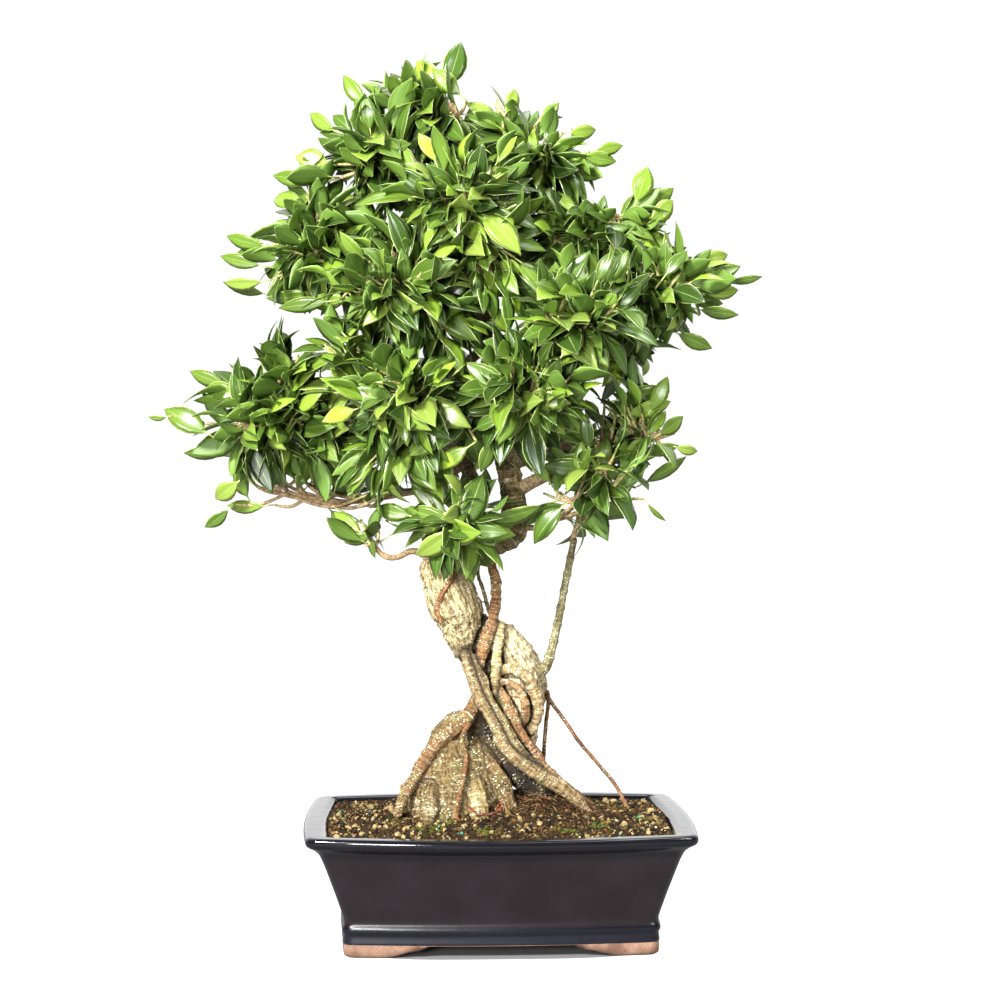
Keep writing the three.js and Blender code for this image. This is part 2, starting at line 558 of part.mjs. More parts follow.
// The leaves of one twig, from its tip back: one at the end, the others in a spiral.
const leavesOf = (twig, seed) => {
  const [root, bend, tip] = twig.map(([x, y, z]) => place(x, y, z));
  const run = new THREE.CatmullRomCurve3([root, bend, tip], false, 'centripetal');
  const span = run.getLength();
  const up = new THREE.Vector3(0, 0, 1);
  return Array.from({ length: LEAVES_PER_TWIG }, (_, j) => {
    const back = Math.min(LEAFY_SHARE, (j * NODE_SPACING) / span);
    const base = run.getPointAt(1 - back);
    const axis = run.getTangentAt(1 - back);
    const flat = new THREE.Vector3().crossVectors(axis, up).normalize();
    const turn = GOLDEN_ANGLE * j + 2 * Math.PI * draw(seed, 3);
    const outwards = flat.multiplyScalar(Math.cos(turn))
      .addScaledVector(new THREE.Vector3().crossVectors(flat, axis).normalize(), Math.sin(turn));
    const { end, least, most } = LEAF_ANGLE;
    const splay = j === 0 ? end : between([least, most], draw(seed, 40 + j));
    const along = axis.clone().multiplyScalar(Math.cos(splay))
      .addScaledVector(outwards, Math.sin(splay)).normalize();
    const facing = axis.clone().addScaledVector(up, LOOK_UP);
    facing.addScaledVector(along, -facing.dot(along)).normalize();
    const size = between(LEAF_SIZES, draw(seed, 60 + j));
    return { base, along, facing, length: LEAF.length * size, width: LEAF.width * size };
  });
};

const socket = makeTrunk(LIMB_SOCKET);

const plans = Object.entries(BRANCHES).map(([name, branch], b) => ({
  name, branch, seed: 10 * b + 7, wood: limb(branch.limb, 5).subtract(socket), leaves: [],
}));

// A twig or leaf is left out where it would run into another branch.
plans.forEach((plan) => {
  const others = plans.filter((other) => other !== plan).map((other) => other.wood);
  plan.twigs = twigsOf(plan.branch, plan.seed)
    .filter((twig) => isClear(limb(twig, TWIG.sides, LEAF_CLEARANCE), [socket, ...others]));
  plan.wood = fuse([plan.wood, ...plan.twigs.map((twig) => limb(twig, TWIG.sides))]);
});

plans.forEach((plan) => {
  const { wood, leaves, seed } = plan;
  const others = plans.filter((other) => other !== plan);
  plan.twigs.forEach((twig, k) => leavesOf(twig, seed + 100 * (k + 1)).forEach((leaf) => {
    const { base, along, facing, length, width } = leaf;
    const test = blade(base, along, facing, length, width, LEAF.thickness + 2 * LEAF_CLEARANCE);
    const fits = isClear(test, [socket, ...leaves])
      && others.every((other) => isClear(test, [other.wood, ...other.leaves]));
    if (fits) leaves.push(blade(base, along, facing, length, width, LEAF.thickness));
  }));
  addPiece(`branch_${plan.name}`, mainBody(fuse([wood, ...leaves])), FOLIAGE);
});

// ---- Origin: the middle of the footprint of the whole part, on the ground --------------------

const whole = new THREE.Box3().setFromObject(group);
const middle = whole.getCenter(new THREE.Vector3());
group.position.set(-middle.x, -middle.y, -whole.min.z);
group.updateMatrixWorld(true);

export default group;
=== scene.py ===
import bpy
import numpy as np
from mathutils import Euler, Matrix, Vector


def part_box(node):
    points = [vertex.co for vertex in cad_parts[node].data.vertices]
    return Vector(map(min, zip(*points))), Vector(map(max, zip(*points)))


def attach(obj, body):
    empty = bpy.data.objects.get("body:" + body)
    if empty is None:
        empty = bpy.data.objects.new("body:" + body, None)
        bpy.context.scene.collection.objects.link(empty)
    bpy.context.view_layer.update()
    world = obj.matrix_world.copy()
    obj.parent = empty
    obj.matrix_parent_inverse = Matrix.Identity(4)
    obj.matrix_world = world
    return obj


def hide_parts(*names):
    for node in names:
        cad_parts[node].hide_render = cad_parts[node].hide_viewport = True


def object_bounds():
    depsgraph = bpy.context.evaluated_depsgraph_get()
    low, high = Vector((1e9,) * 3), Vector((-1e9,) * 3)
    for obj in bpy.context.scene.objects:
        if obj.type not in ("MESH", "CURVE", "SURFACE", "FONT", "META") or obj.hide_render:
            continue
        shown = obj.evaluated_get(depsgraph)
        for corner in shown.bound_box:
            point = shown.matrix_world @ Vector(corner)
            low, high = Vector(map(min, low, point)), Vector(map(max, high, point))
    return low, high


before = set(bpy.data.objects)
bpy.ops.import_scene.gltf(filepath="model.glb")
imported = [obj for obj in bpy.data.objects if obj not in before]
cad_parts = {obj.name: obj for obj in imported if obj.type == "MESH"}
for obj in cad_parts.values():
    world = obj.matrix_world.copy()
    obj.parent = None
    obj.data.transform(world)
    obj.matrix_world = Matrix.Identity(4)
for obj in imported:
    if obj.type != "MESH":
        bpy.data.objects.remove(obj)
CAD_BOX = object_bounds()

# ==== Camera ================================================================================
# The tree is seen from the front and a little from its left, two metres off, with the lens at
# the height of the lower crown. A long lens keeps the pot's sides nearly upright.

POT_LOW, POT_HIGH = (np.array(corner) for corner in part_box("pot"))
STAND = np.array([*(POT_LOW + POT_HIGH)[:2] / 2, 0.0])  # middle of the pot's feet, metres

EYE_DISTANCE = 2100.0  # mm, to the upright plane through the pot's middle
EYE_HEIGHT = 487.0  # mm
EYE_TURN = np.radians(2.5)
PICTURE = 1000  # pixels to a side
HORIZON_ROW = 447
FOCAL_PIXELS = 2100
SENSOR = 36.0  # mm

camera = bpy.data.objects.new("camera", bpy.data.cameras.new("camera"))
bpy.context.collection.objects.link(camera)
camera.data.sensor_width = SENSOR
camera.data.lens = SENSOR * FOCAL_PIXELS / PICTURE
pitch = np.arctan((PICTURE / 2 - HORIZON_ROW) / FOCAL_PIXELS)
camera.rotation_euler = Euler((np.pi / 2 - pitch, 0.0, -EYE_TURN))
camera.location = STAND + np.array(
    [-EYE_DISTANCE * np.sin(EYE_TURN), -EYE_DISTANCE * np.cos(EYE_TURN), EYE_HEIGHT]) / 1000
bpy.context.scene.camera = camera

# ==== Pot ===================================================================================
# One piece of stoneware, slip cast as a bowed rectangle: a rolled lip, a sloping wall and a bead
# above the foot. Body and lip carry a dark glaze; the foot with its four brackets is bare clay.


def linear(code):
    """The sRGB hex colour #rrggbb as linear red, green, blue and a full alpha."""
    part = np.array([int(code[i:i + 2], 16) for i in (1, 3, 5)]) / 255
    low, high = part / 12.92, ((part + 0.055) / 1.055) ** 2.4
    return (*np.where(part <= 0.04045, low, high), 1.0)


def fill(node, settings):
    """Sets a node's properties and inputs in turn: a socket is linked, #rrggbb made linear."""
    for key, value in settings.items():
        if key == "stops":
            ramp = node.color_ramp.elements
            while len(ramp) < len(value):
                ramp.new(0.5)
            for element, (position, colour) in zip(ramp, value):
                element.position, element.color = position, linear(colour)
        elif not isinstance(key, int) and key not in node.inputs:
            setattr(node, key, value)
        elif isinstance(value, bpy.types.NodeSocket):
            node.id_data.links.new(value, node.inputs[key])
        else:
            node.inputs[key].default_value = linear(value) if isinstance(value, str) else value


def add(tree, kind, settings=None, out=0):
    """Adds a node with its settings and links, and gives its output `out`, or itself for None."""
    made = tree.nodes.new("ShaderNode" + kind)
    fill(made, settings or {})
    return made if out is None else made.outputs[out]


def new_material(name, **surface):
    """An empty material with its one Principled shader, and its node tree."""
    material = bpy.data.materials.new(name)
    material.use_nodes = True
    tree = material.node_tree
    tree.nodes.clear()
    shader = add(tree, "BsdfPrincipled",
                 {k.replace("_", " "): v for k, v in surface.items()}, out=None)
    add(tree, "OutputMaterial", {"Surface": shader.outputs[0]}, out=None)
    return material, tree, shader


def shaded(tree, colour, by, dark, low=0.35, high=0.65, share=1.0):
    """The colour times a ramp of `by` from `dark` at `low` to white at `high`."""
    ramp = add(tree, "ValToRGB", {"stops": [(low, dark), (high, "#ffffff")], "Fac": by})
    return add(tree, "Mix", {"data_type": "RGBA", "blend_type": "MULTIPLY", 0: share, 6: colour,
               7: ramp}, out=2)


def catmull(knots, steps):
    """Centripetal Catmull-Rom curve through the knots, `steps` samples to each span."""
    knots = np.asarray(knots, float)
    around = np.vstack([2 * knots[0] - knots[1], knots, 2 * knots[-1] - knots[-2]])
    gap = np.sqrt(np.linalg.norm(np.diff(around[:, :3], axis=0), axis=1)) + 1e-9
    p0, p1, p2, p3 = (around[i:len(knots) - 1 + i, None] for i in range(4))
    d0, d1, d2 = (gap[i:len(knots) - 1 + i, None, None] for i in range(3))
    t = np.linspace(0, 1, steps, endpoint=False)[None, :, None]
    m1 = ((p1 - p0) / d0 - (p2 - p0) / (d0 + d1) + (p2 - p1) / d1) * d1
    m2 = ((p2 - p1) / d1 - (p3 - p1) / (d1 + d2) + (p3 - p2) / d2) * d1
    spans = (2 * t**3 - 3 * t**2 + 1) * p1 + (t**3 - 2 * t**2 + t) * m1 \
        + (3 * t**2 - 2 * t**3) * p2 + (t**3 - t**2) * m2
    return np.vstack([spans.reshape(-1, knots.shape[1]), knots[-1:]])


def ring_faces(rings, around):
    """Quads between neighbouring closed rings of points, numbered ring by ring."""
    a = np.arange(rings * around).reshape(rings, around)
    b = np.roll(a, -1, axis=1)
    return np.stack([a[:-1], b[:-1], b[1:], a[1:]], axis=-1).reshape(-1, 4)


def cap_faces(ring, centre):
    """A fan of triangles from the ring's points to the centre's number."""
    return np.stack([np.roll(ring, -1), ring, np.full(len(ring), centre)], axis=-1)


def closed_rings(rings, ends):
    """Points and faces of a closed skin: rings of points, and two ends that each close a fan."""
    count, around = rings.shape[:2]
    first, last = np.arange(around), (count - 1) * around + np.arange(around)
    points = np.vstack([rings.reshape(-1, 3), ends])
    return points, outwards(points, [ring_faces(count, around),
                                     cap_faces(first[::-1], count * around),
                                     cap_faces(last, count * around + 1)])


def outwards(points, faces):
    """The same faces, turned round where the closed skin holds less than nothing."""
    a, b, c = (points[np.concatenate([f[:, [0, i, i + 1]] for f in faces for i in
                                      range(1, f.shape[1] - 1)])[:, k]] for k in range(3))
    volume = np.einsum("ij,ij->", a, np.cross(b, c))
    return faces if volume > 0 else [f[:, ::-1] for f in faces]


def make_piece(name, points, faces, materials, slot, stands_for=(), choice=None, data=(),
               smooth=True):
    """A mesh at the origin from points in mm off the stand, riding on the root body.

    `choice` numbers each face's material. `data` holds point, face or corner values by name.
    """
    mesh = bpy.data.meshes.new(name)
    corners = np.concatenate([f.ravel() for f in faces]).astype(np.int32)
    counts = np.concatenate([np.full(len(f), f.shape[1]) for f in faces])
    mesh.vertices.add(len(points))
    mesh.vertices.foreach_set("co", (points / 1000 + STAND).astype(np.float32).ravel())
    mesh.loops.add(len(corners))
    mesh.loops.foreach_set("vertex_index", corners)
    mesh.polygons.add(len(counts))
    mesh.polygons.foreach_set("loop_start", (np.cumsum(counts) - counts).astype(np.int32))
    mesh.polygons.foreach_set("use_smooth", np.full(len(counts), smooth))
    for material in materials:
        mesh.materials.append(material)
    if choice is not None:
        mesh.polygons.foreach_set("material_index", np.asarray(choice, np.int32))
    for key, values in dict(data).items():
        values = np.asarray(values, np.float32)
        domain = {len(points): "POINT", len(counts): "FACE", len(corners): "CORNER"}[len(values)]
        kind, field = {1: ("FLOAT", "value"), 2: ("FLOAT2", "vector"),
                       3: ("FLOAT_VECTOR", "vector")}[values.ndim and values[0].size]
        if kind == "FLOAT2":
            mesh.uv_layers.new(name=key).uv.foreach_set("vector", values.ravel())
        else:
            mesh.attributes.new(key, kind, domain).data.foreach_set(field, values.ravel())
    mesh.update(calc_edges=True)
    piece = bpy.data.objects.new(name, mesh)
    bpy.context.collection.objects.link(piece)
    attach(piece, "root")
    if stands_for:
        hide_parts(*stands_for)


RIM_HALF, BASE_HALF = 186.0, 151.0  # half widths at the corners
POT_SHIFT = -2.5  # to the left of the stand's middle
DEPTH_LESS, BASE_WIDER = 62, 15  # half depth: this less than the half width, this more at the base
SIDE_BOW, FRONT_BOW = (4, 3), (9, 13)  # at the base, and how much more at the rim
CORNER, INNER_CORNER = 9.0, 4.0  # radii in plan
INNER_START = 84  # the profile's first ring down the inside of the wall
FOOT_TOP, RECESS_TOP, FLOOR_TOP = 12.5, 13.0, 25.0
FOOT_CORNER = (154, 104)  # x and y where the front's brackets meet the side's
# Half lengths of each opening at the ground and along its flat top.
BRACKET = {"front": (104.0, 68.0), "side": (43.0, 16.0), "height": 12.4}


def pot_plan(half, corner=CORNER):
    """Outline in plan at each half width: a rounded rectangle with bowed sides.

    `corner` is its radius, one for all or one for each half width.

    x += s (x/a)^2 (1 - (y/b)^2) and y += f (y/b)^2 (1 - (x/a)^2), outwards.
    """
    half = np.atleast_1d(half).astype(float)[:, None]
    corner = np.broadcast_to(np.atleast_1d(corner)[:, None], half.shape)
    lean = (half - BASE_HALF) / (RIM_HALF - BASE_HALF)
    a, b = half, half - DEPTH_LESS + (1 - lean) * BASE_WIDER
    rise, turn = np.linspace(0, 1, 9)[:-1], np.linspace(0, np.pi / 2, 10)
    back = np.linspace(1, 0, 15)[1:-1]
    x = np.hstack([a + 0 * rise, a - corner * (1 - np.cos(turn)), (a - corner) * back])
    y = np.hstack([(b - corner) * rise, b - corner * (1 - np.sin(turn)), b + 0 * back])
    x = np.hstack([x, 0 * a, -x[:, :0:-1]])
    y = np.hstack([y, b, y[:, :0:-1]])
    x, y = np.hstack([x, -x]), np.hstack([y, -y])
    bow_x = (SIDE_BOW[0] + SIDE_BOW[1] * lean) * (x / a) ** 2 * (1 - (y / b) ** 2)
    bow_y = (FRONT_BOW[0] + FRONT_BOW[1] * lean) * (y / b) ** 2 * (1 - (x / a) ** 2)
    return x + np.sign(x) * bow_x + POT_SHIFT, y + np.sign(y) * bow_y


def bracket_height(x, y):
    """Height of the foot's lower edge: an ogee that rises from nothing at each bracket.

    h (0.446 sin(pi/2 min(2.2 t, 1)) + 0.554 max(2 t - 1, 0)^1.6), t from bracket to flat top.
    """
    def ogee(across, half, top):
        t = np.clip((half - np.abs(across)) / (half - top), 0, 1)
        return BRACKET["height"] * (0.62 * np.sin(np.pi / 2 * np.clip(t * 2.2, 0, 1)) * 0.72
                                    + 0.554 * np.clip(t * 2 - 1, 0, 1) ** 1.6)
    on_front = np.abs(y) / FOOT_CORNER[1] > np.abs(x) / FOOT_CORNER[0]
    return np.where(on_front, ogee(x - POT_SHIFT, *BRACKET["front"]), ogee(y, *BRACKET["side"]))


def clay_and_glaze():
    """Dark iron glaze: glossy blue-black on the lip and the foot bead, satin and a little redder on
    the wall. Below it bare clay, sandy and pinkish tan."""
    glaze, tree, shader = new_material("dark_iron_glaze", Roughness=0.2, IOR=1.44)
    at = add(tree, "TexCoord", out="Object")
    high = add(tree, "SeparateXYZ", {"Vector": at}, out="Z")
    cloud = add(tree, "TexNoise", {"Scale": 22.0, "Detail": 5.0, "Roughness": 0.6, "Vector": at})
    speck = add(tree, "TexNoise", {"Scale": 900.0, "Detail": 2.0, "Vector": at})
    # Heights in metres: the wall lies between the bead's top at 31 mm and the lip at 100 mm.
    level = add(tree, "MapRange", {"From Max": 0.118, "Value": high})
    body = add(tree, "ValToRGB", {"stops": [(0.0, "#14141e"), (0.17, "#14141f"),
               (0.235, "#0c0c15"), (0.27, "#1b1418"), (0.8, "#1d1519"), (0.87, "#0e0d14"),
               (0.93, "#0b0a11"), (0.99, "#15141a")], "Fac": level})
    toned = shaded(tree, body, cloud, "#c4bcbc")
    dust = add(tree, "MapRange", {"From Min": 0.7, "From Max": 0.78, "To Max": 0.35,
               "Value": speck})
    dusty = add(tree, "Mix", {"data_type": "RGBA", 7: "#6d6560", 0: dust, 6: toned}, out=2)
    satin = add(tree, "ValToRGB", {"stops": [(0.0, "#a0a0a0"), (0.24, "#8c8c8c"),
                (0.28, "#9a9a9a"), (0.8, "#9a9a9a"), (0.86, "#646464"), (1.0, "#5a5a5a")],
                "Fac": level})
    flow = add(tree, "TexNoise", {"Scale": 60.0, "Detail": 3.0, "Vector": at})
    bump = add(tree, "Bump", {"Strength": 0.25, "Distance": 0.0008, "Height": flow})
    fill(shader, {"Base Color": dusty, "Roughness": satin, "Normal": bump})

    clay, tree, shader = new_material("bare_stoneware", Roughness=0.9)
    at = add(tree, "TexCoord", out="Object")
    sand = add(tree, "TexNoise", {"Scale": 700.0, "Detail": 4.0, "Roughness": 0.75, "Vector": at})
    stain = add(tree, "TexNoise", {"Scale": 45.0, "Detail": 3.0, "Vector": at})
    grains = add(tree, "ValToRGB", {"stops": [(0.3, "#6a5042"), (0.5, "#866753"),
                 (0.7, "#997a66")], "Fac": sand})
    worn = shaded(tree, grains, stain, "#a89890", low=0.3)
    # The foot is darker towards #4a382c over its lowest 3.5 mm.
    low = add(tree, "MapRange", {"From Min": 0.0035, "From Max": 0.0, "To Max": 0.6,
              "Value": add(tree, "SeparateXYZ", {"Vector": at}, out="Z")})
    darker_near_ground = add(tree, "Mix", {"data_type": "RGBA", 7: "#4a382c", 0: low, 6: worn}, out=2)
    bump = add(tree, "Bump", {"Strength": 0.6, "Distance": 0.0006, "Height": sand})
    fill(shader, {"Base Color": darker_near_ground, "Normal": bump})
    return glaze, clay


# Half width and height up the outside of the wall, over the lip and down to the floor inside.
GLAZED = [(151, FOOT_TOP), (151.4, 13.6), (151.2, 16), (150.8, 19.6), (150.9, 21.4), (151.6, 22.8),
          (152.3, 25), (152.2, 27.6), (151.4, 29.8), (150.6, 31.4), (150.4, 33.6), (151.6, 39),
          (154.8, 49), (158.4, 60), (162.6, 72), (166.8, 84), (169.4, 91), (171.2, 95.4),
          (173.4, 99.8), (176.6, 103.4), (180.6, 106.2), (184, 108.2), (185.8, 110.8), (186, 113.6),
          (185.2, 116.2), (183, 117.6), (180, 118), (174, 118), (169.8, 117.8),
          (166.7, 116.6), (164.6, 114), (163.6, 111), (160.1, 98), (154, 74), (147.2, 50),
          (142.2, 31), (136, 25.2), (60, 25)]
profile = catmull(np.array(GLAZED), 3)
half, height = np.minimum(profile[:, 0], RIM_HALF), np.minimum(profile[:, 1], POT_HIGH[2] * 1000)
x, y = pot_plan(half, np.where(np.arange(len(half)) > INNER_START, INNER_CORNER, CORNER))
wall = np.stack([x, y, np.broadcast_to(height[:, None], x.shape)], axis=-1)

outer_x, outer_y = pot_plan([148.5, 150.5, 151, 151])
inner_x, inner_y = pot_plan([139, 137.5, 136])
edge = bracket_height(outer_x[:1], outer_y[:1])
outside = edge + np.array([[0.0], [1.6], [4.0], [0.0]])
outside[3] = FOOT_TOP
outside[1:3] = np.minimum(outside[1:3], FOOT_TOP - np.array([[0.6], [0.3]]))
inside = edge * np.array([[1.0], [0.5], [0.0]]) + np.array([[0.0], [6.5], [13.0]])
foot = np.stack([np.vstack([inner_x[::-1], outer_x]), np.vstack([inner_y[::-1], outer_y]),
                 np.vstack([inside[::-1], outside])], axis=-1)

rings = np.vstack([foot, wall])
count, around = rings.shape[:2]
points, faces = closed_rings(rings, [[0, 0, RECESS_TOP], [0, 0, FLOOR_TOP]])
bare = np.repeat(np.arange(count - 1) < len(foot), around)
glaze, clay = clay_and_glaze()
make_piece("glazed_pot", points, faces, [glaze, clay], "pot_glaze", ["pot"],
           choice=np.concatenate([bare, np.ones(around), np.zeros(around)]))

# ==== Drainage screens ======================================================================
# Two squares of black moulded plastic, pierced and laid loose over the drain holes to hold the
# mix in. The soil's weight keeps them there. Their CAD shape stays and only gets a finish.

netting, tree, shader = new_material("moulded_netting", Roughness=0.55)
speck = add(tree, "TexNoise", {"Scale": 900.0, "Vector": add(tree, "TexCoord", out="Object")})
dull = add(tree, "ValToRGB", {"stops": [(0.3, "#161616"), (0.7, "#262624")], "Fac": speck})
fill(shader, {"Base Color": dull})
for side in ("left", "right"):
    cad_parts[f"drain_screen_{side}"].data.materials[0] = netting

# ==== Soil ==================================================================================
# Open bonsai mix, heaped round the roots: dark bark humus with pumice, fired clay and grit, a few
# beads of plant food, cushions of moss and loose rootlets.

SOIL_EDGE = 113.5
MOUND = {"height": 27.0, "width": 96.0, "depth": 82.0, "x": 2.0}
GRAINS, BLADES = 9500, 3200


def soil_height(x, y):
    """The heap's smooth height: edge + h exp(-((x - x0) / w)^2 - (y / d)^2)."""
    return SOIL_EDGE + MOUND["height"] * np.exp(
        -((x - MOUND["x"]) / MOUND["width"]) ** 2 - (y / MOUND["depth"]) ** 2)


def unit(v):
    """Each vector at length one."""
    return v / np.linalg.norm(v, axis=-1, keepdims=True)


def ripple(q, length, seed, waves=14):
    """Smooth seeded noise of about -1 to 1: a sum of sines along random directions."""
    rng = np.random.default_rng(seed)
    way = unit(rng.normal(size=(waves, q.shape[-1]))) * rng.uniform(0.6, 1.6, (waves, 1))
    phase = rng.uniform(0, 2 * np.pi, waves)
    return np.sin(q @ way.T * (2 * np.pi / length) + phase).sum(-1) * np.sqrt(0.5 / waves)


def lumpy(x, y):
    """Height of the real surface: the heap with crumbs 5 to 20 mm across on it."""
    at = np.stack([x, y], axis=-1)
    return soil_height(x, y) + 1.3 * ripple(at, 22, 31) + 0.7 * ripple(at, 8, 32) - 0.8


def copied(faces, count, size):
    """The faces of one shape of `size` points for each of `count` copies of it."""
    each = np.arange(count)[:, None, None] * size
    return (faces[None] + each).reshape(-1, faces.shape[1])


def many(shape, faces, centres, sizes, turns):
    """Copies of one small shape: each scaled by its sizes, turned by its quaternion, and moved."""
    w, x, y, z = unit(turns).T
    matrix = np.stack([
        1 - 2 * (y * y + z * z), 2 * (x * y - w * z), 2 * (x * z + w * y),
        2 * (x * y + w * z), 1 - 2 * (x * x + z * z), 2 * (y * z - w * x),
        2 * (x * z - w * y), 2 * (y * z + w * x), 1 - 2 * (x * x + y * y),
    ], axis=-1).reshape(-1, 3, 3)
    points = np.einsum("nij,nkj->nki", matrix, shape[None] * sizes[:, None]) + centres[:, None]
    return points.reshape(-1, 3), [copied(faces, len(centres), len(shape))]


def tinted(name, roughness, scale):
    """A rough earthy finish that takes its colour from the piece's tint and mottles it."""
    made, tree, shader = new_material(name, Roughness=roughness, IOR=1.3)
    tint = add(tree, "Attribute", {"attribute_name": "tint"}, out="Vector")
    noise = add(tree, "TexNoise", {"Scale": scale, "Detail": 4.0, "Roughness": 0.7,
                "Vector": add(tree, "TexCoord", out="Object")})
    bump = add(tree, "Bump", {"Strength": 0.7, "Distance": 0.0005, "Height": noise})
    fill(shader, {"Base Color": shaded(tree, tint, noise, "#a09a90"), "Normal": bump})
    return made


humus, tree, shader = new_material("bark_humus", Roughness=0.95, IOR=1.3)
at = add(tree, "TexCoord", out="Object")
crumb = add(tree, "TexNoise", {"Scale": 260.0, "Detail": 6.0, "Roughness": 0.75, "Vector": at})
earth = add(tree, "ValToRGB", {"stops": [(0.36, "#171007"), (0.5, "#362713"), (0.62, "#5c4828")],
            "Fac": crumb})
bump = add(tree, "Bump", {"Strength": 1.0, "Distance": 0.002, "Height": crumb})
fill(shader, {"Base Color": earth, "Normal": bump})

# Half width and height of the filling down the inside of the wall.
sides = np.array([(163.8, 113.5), (159.2, 98), (146.4, 50), (139.4, 31), (136.6, 27.4)])
inward = np.linspace(1, 0.02, 40)
x, y = pot_plan(sides[:, 0], INNER_CORNER)
top_x, top_y = x[0] * inward[:, None], y[0] * inward[:, None]
rise = lumpy(top_x, top_y)
rise[0] = SOIL_EDGE
rings = np.stack([np.vstack([x[:0:-1], top_x]), np.vstack([y[:0:-1], top_y]),
                  np.vstack([np.tile(sides[:0:-1, 1:], x.shape[1]), rise])], axis=-1)
middle = lumpy(np.array(0), np.array(0))
make_piece("soil_heap", *closed_rings(rings, [[0, 0, sides[-1, 1]], [0, 0, middle]]), [humus],
           "potting_mix", ["soil"])


def paints(codes):
    """Hex colours as rows of linear red, green and blue."""
    return np.array([linear(code)[:3] for code in codes])


def scattered(rng, count):
    """Random places on the soil inside the pot's rim.

    |x| < 159 + 8 (1 - (y/120)^2) and |y| < 101 + 19 (1 - (x/165)^2), as the rim bows.
    """
    x, y = rng.uniform(-168, 168, 3 * count), rng.uniform(-122, 122, 3 * count)
    inside = (np.abs(x) < 159 + 8 * (1 - (y / 120) ** 2)) \
        & (np.abs(y) < 101 + 19 * (1 - (x / 165) ** 2))
    return x[inside][:count] + POT_SHIFT, y[inside][:count]


GOLD = (1 + 5**0.5) / 2
CRUMB = unit(np.array([(-1, GOLD, 0), (1, GOLD, 0), (-1, -GOLD, 0), (1, -GOLD, 0),
                       (0, -1, GOLD), (0, 1, GOLD), (0, -1, -GOLD), (0, 1, -GOLD),
                       (GOLD, 0, -1), (GOLD, 0, 1), (-GOLD, 0, -1), (-GOLD, 0, 1)]))
CRUMB_FACES = np.array([
    (0, 11, 5), (0, 5, 1), (0, 1, 7), (0, 7, 10), (0, 10, 11), (1, 5, 9), (5, 11, 4), (11, 10, 2),
    (10, 7, 6), (7, 1, 8), (3, 9, 4), (3, 4, 2), (3, 2, 6), (3, 6, 8), (3, 8, 9), (4, 9, 5),
    (2, 4, 11), (6, 2, 10), (8, 6, 7), (9, 8, 1)])
# Colour, share of the grains, and radius in mm: humus, wet bark, fired clay, pumice, grit, brick,
# plant food, coarse pumice.
MIX = [("#20160e", 0.36, 1.3), ("#37260f", 0.27, 1.5), ("#645026", 0.15, 1.4),
       ("#8f7748", 0.08, 1.3), ("#c2b48c", 0.04, 1.1), ("#8a5028", 0.05, 1.2),
       ("#5fae9b", 0.02, 1.0), ("#ab9466", 0.03, 2.3)]
PLANT_FOOD = 6  # its number in the mix: these beads stay round
rng = np.random.default_rng(4)
x, y = scattered(rng, GRAINS)
kind = rng.choice(len(MIX), len(x), p=np.array([m[1] for m in MIX]))
radius = np.array([m[2] for m in MIX])[kind] * rng.lognormal(0, 0.3, len(x)).clip(0.5, 1.9)
stretch = np.where((kind == PLANT_FOOD)[:, None], 1.0, rng.uniform(0.6, 1.35, (len(x), 3)))
centres = np.column_stack([x, y, lumpy(x, y) + 0.35 * radius])
points, faces = many(CRUMB, CRUMB_FACES, centres, radius[:, None] * stretch,
                     rng.normal(size=(len(x), 4)))
tints = paints(m[0] for m in MIX)[kind] * rng.uniform(0.75, 1.2, (len(x), 1))
make_piece("soil_grains", points, outwards(points, faces),
           [tinted("grit_and_clay", 0.85, 500.0)], "potting_mix", ["soil"],
           data={"tint": np.repeat(tints, len(CRUMB), axis=0)}, smooth=False)

# Moss: upright pointed blades of 1.6 to 3.6 mm on a few cushions, each given as x, y, radius.
CUSHIONS = np.array([(-72, -84, 15), (-100, -30, 10), (96, -70, 12), (60, -96, 9), (120, 40, 14),
                     (-130, 60, 13), (20, 88, 16), (-50, -66, 8), (142, -20, 8), (-20, -100, 9)])
which = rng.choice(len(CUSHIONS), BLADES)
spread = rng.normal(size=(BLADES, 2)) * CUSHIONS[which, 2:] * 0.55
x, y = (CUSHIONS[which, :2] + spread).T
x, y = x.clip(-158, 158), y.clip(-106, 106)
tall = rng.uniform(1.6, 3.6, BLADES)
BLADE_WIDTH = 0.9
BLADE = np.array([(0.5, 0, 0), (-0.25, 0.43, 0), (-0.25, -0.43, 0), (0.2, 0.1, 1)])
BLADE_FACES = np.array([(0, 2, 1), (0, 1, 3), (1, 2, 3), (2, 0, 3)])
lean = np.column_stack([np.ones(BLADES), rng.normal(0, 0.3, (BLADES, 3))])
points, faces = many(BLADE, BLADE_FACES, np.column_stack([x, y, lumpy(x, y) - 0.3]),
                     np.column_stack([*[np.full(BLADES, BLADE_WIDTH)] * 2, tall]), lean)
greens = paints(("#5d7a24", "#8fa63a", "#3f5a1c"))
make_piece("moss", points, outwards(points, faces), [tinted("moss", 0.8, 700.0)],
           "potting_mix", ["soil"],
           data={"tint": np.repeat(greens[rng.choice(3, BLADES)], len(BLADE), axis=0)})

# Rootlets and straw: hair-thin curved strands 5 to 20 mm long that lie on the mix, most of them
# round the foot of the trunk and along the ends of the two long roots.
STRANDS, SAMPLES, SIDES = 1500, 6, 3
rng = np.random.default_rng(8)
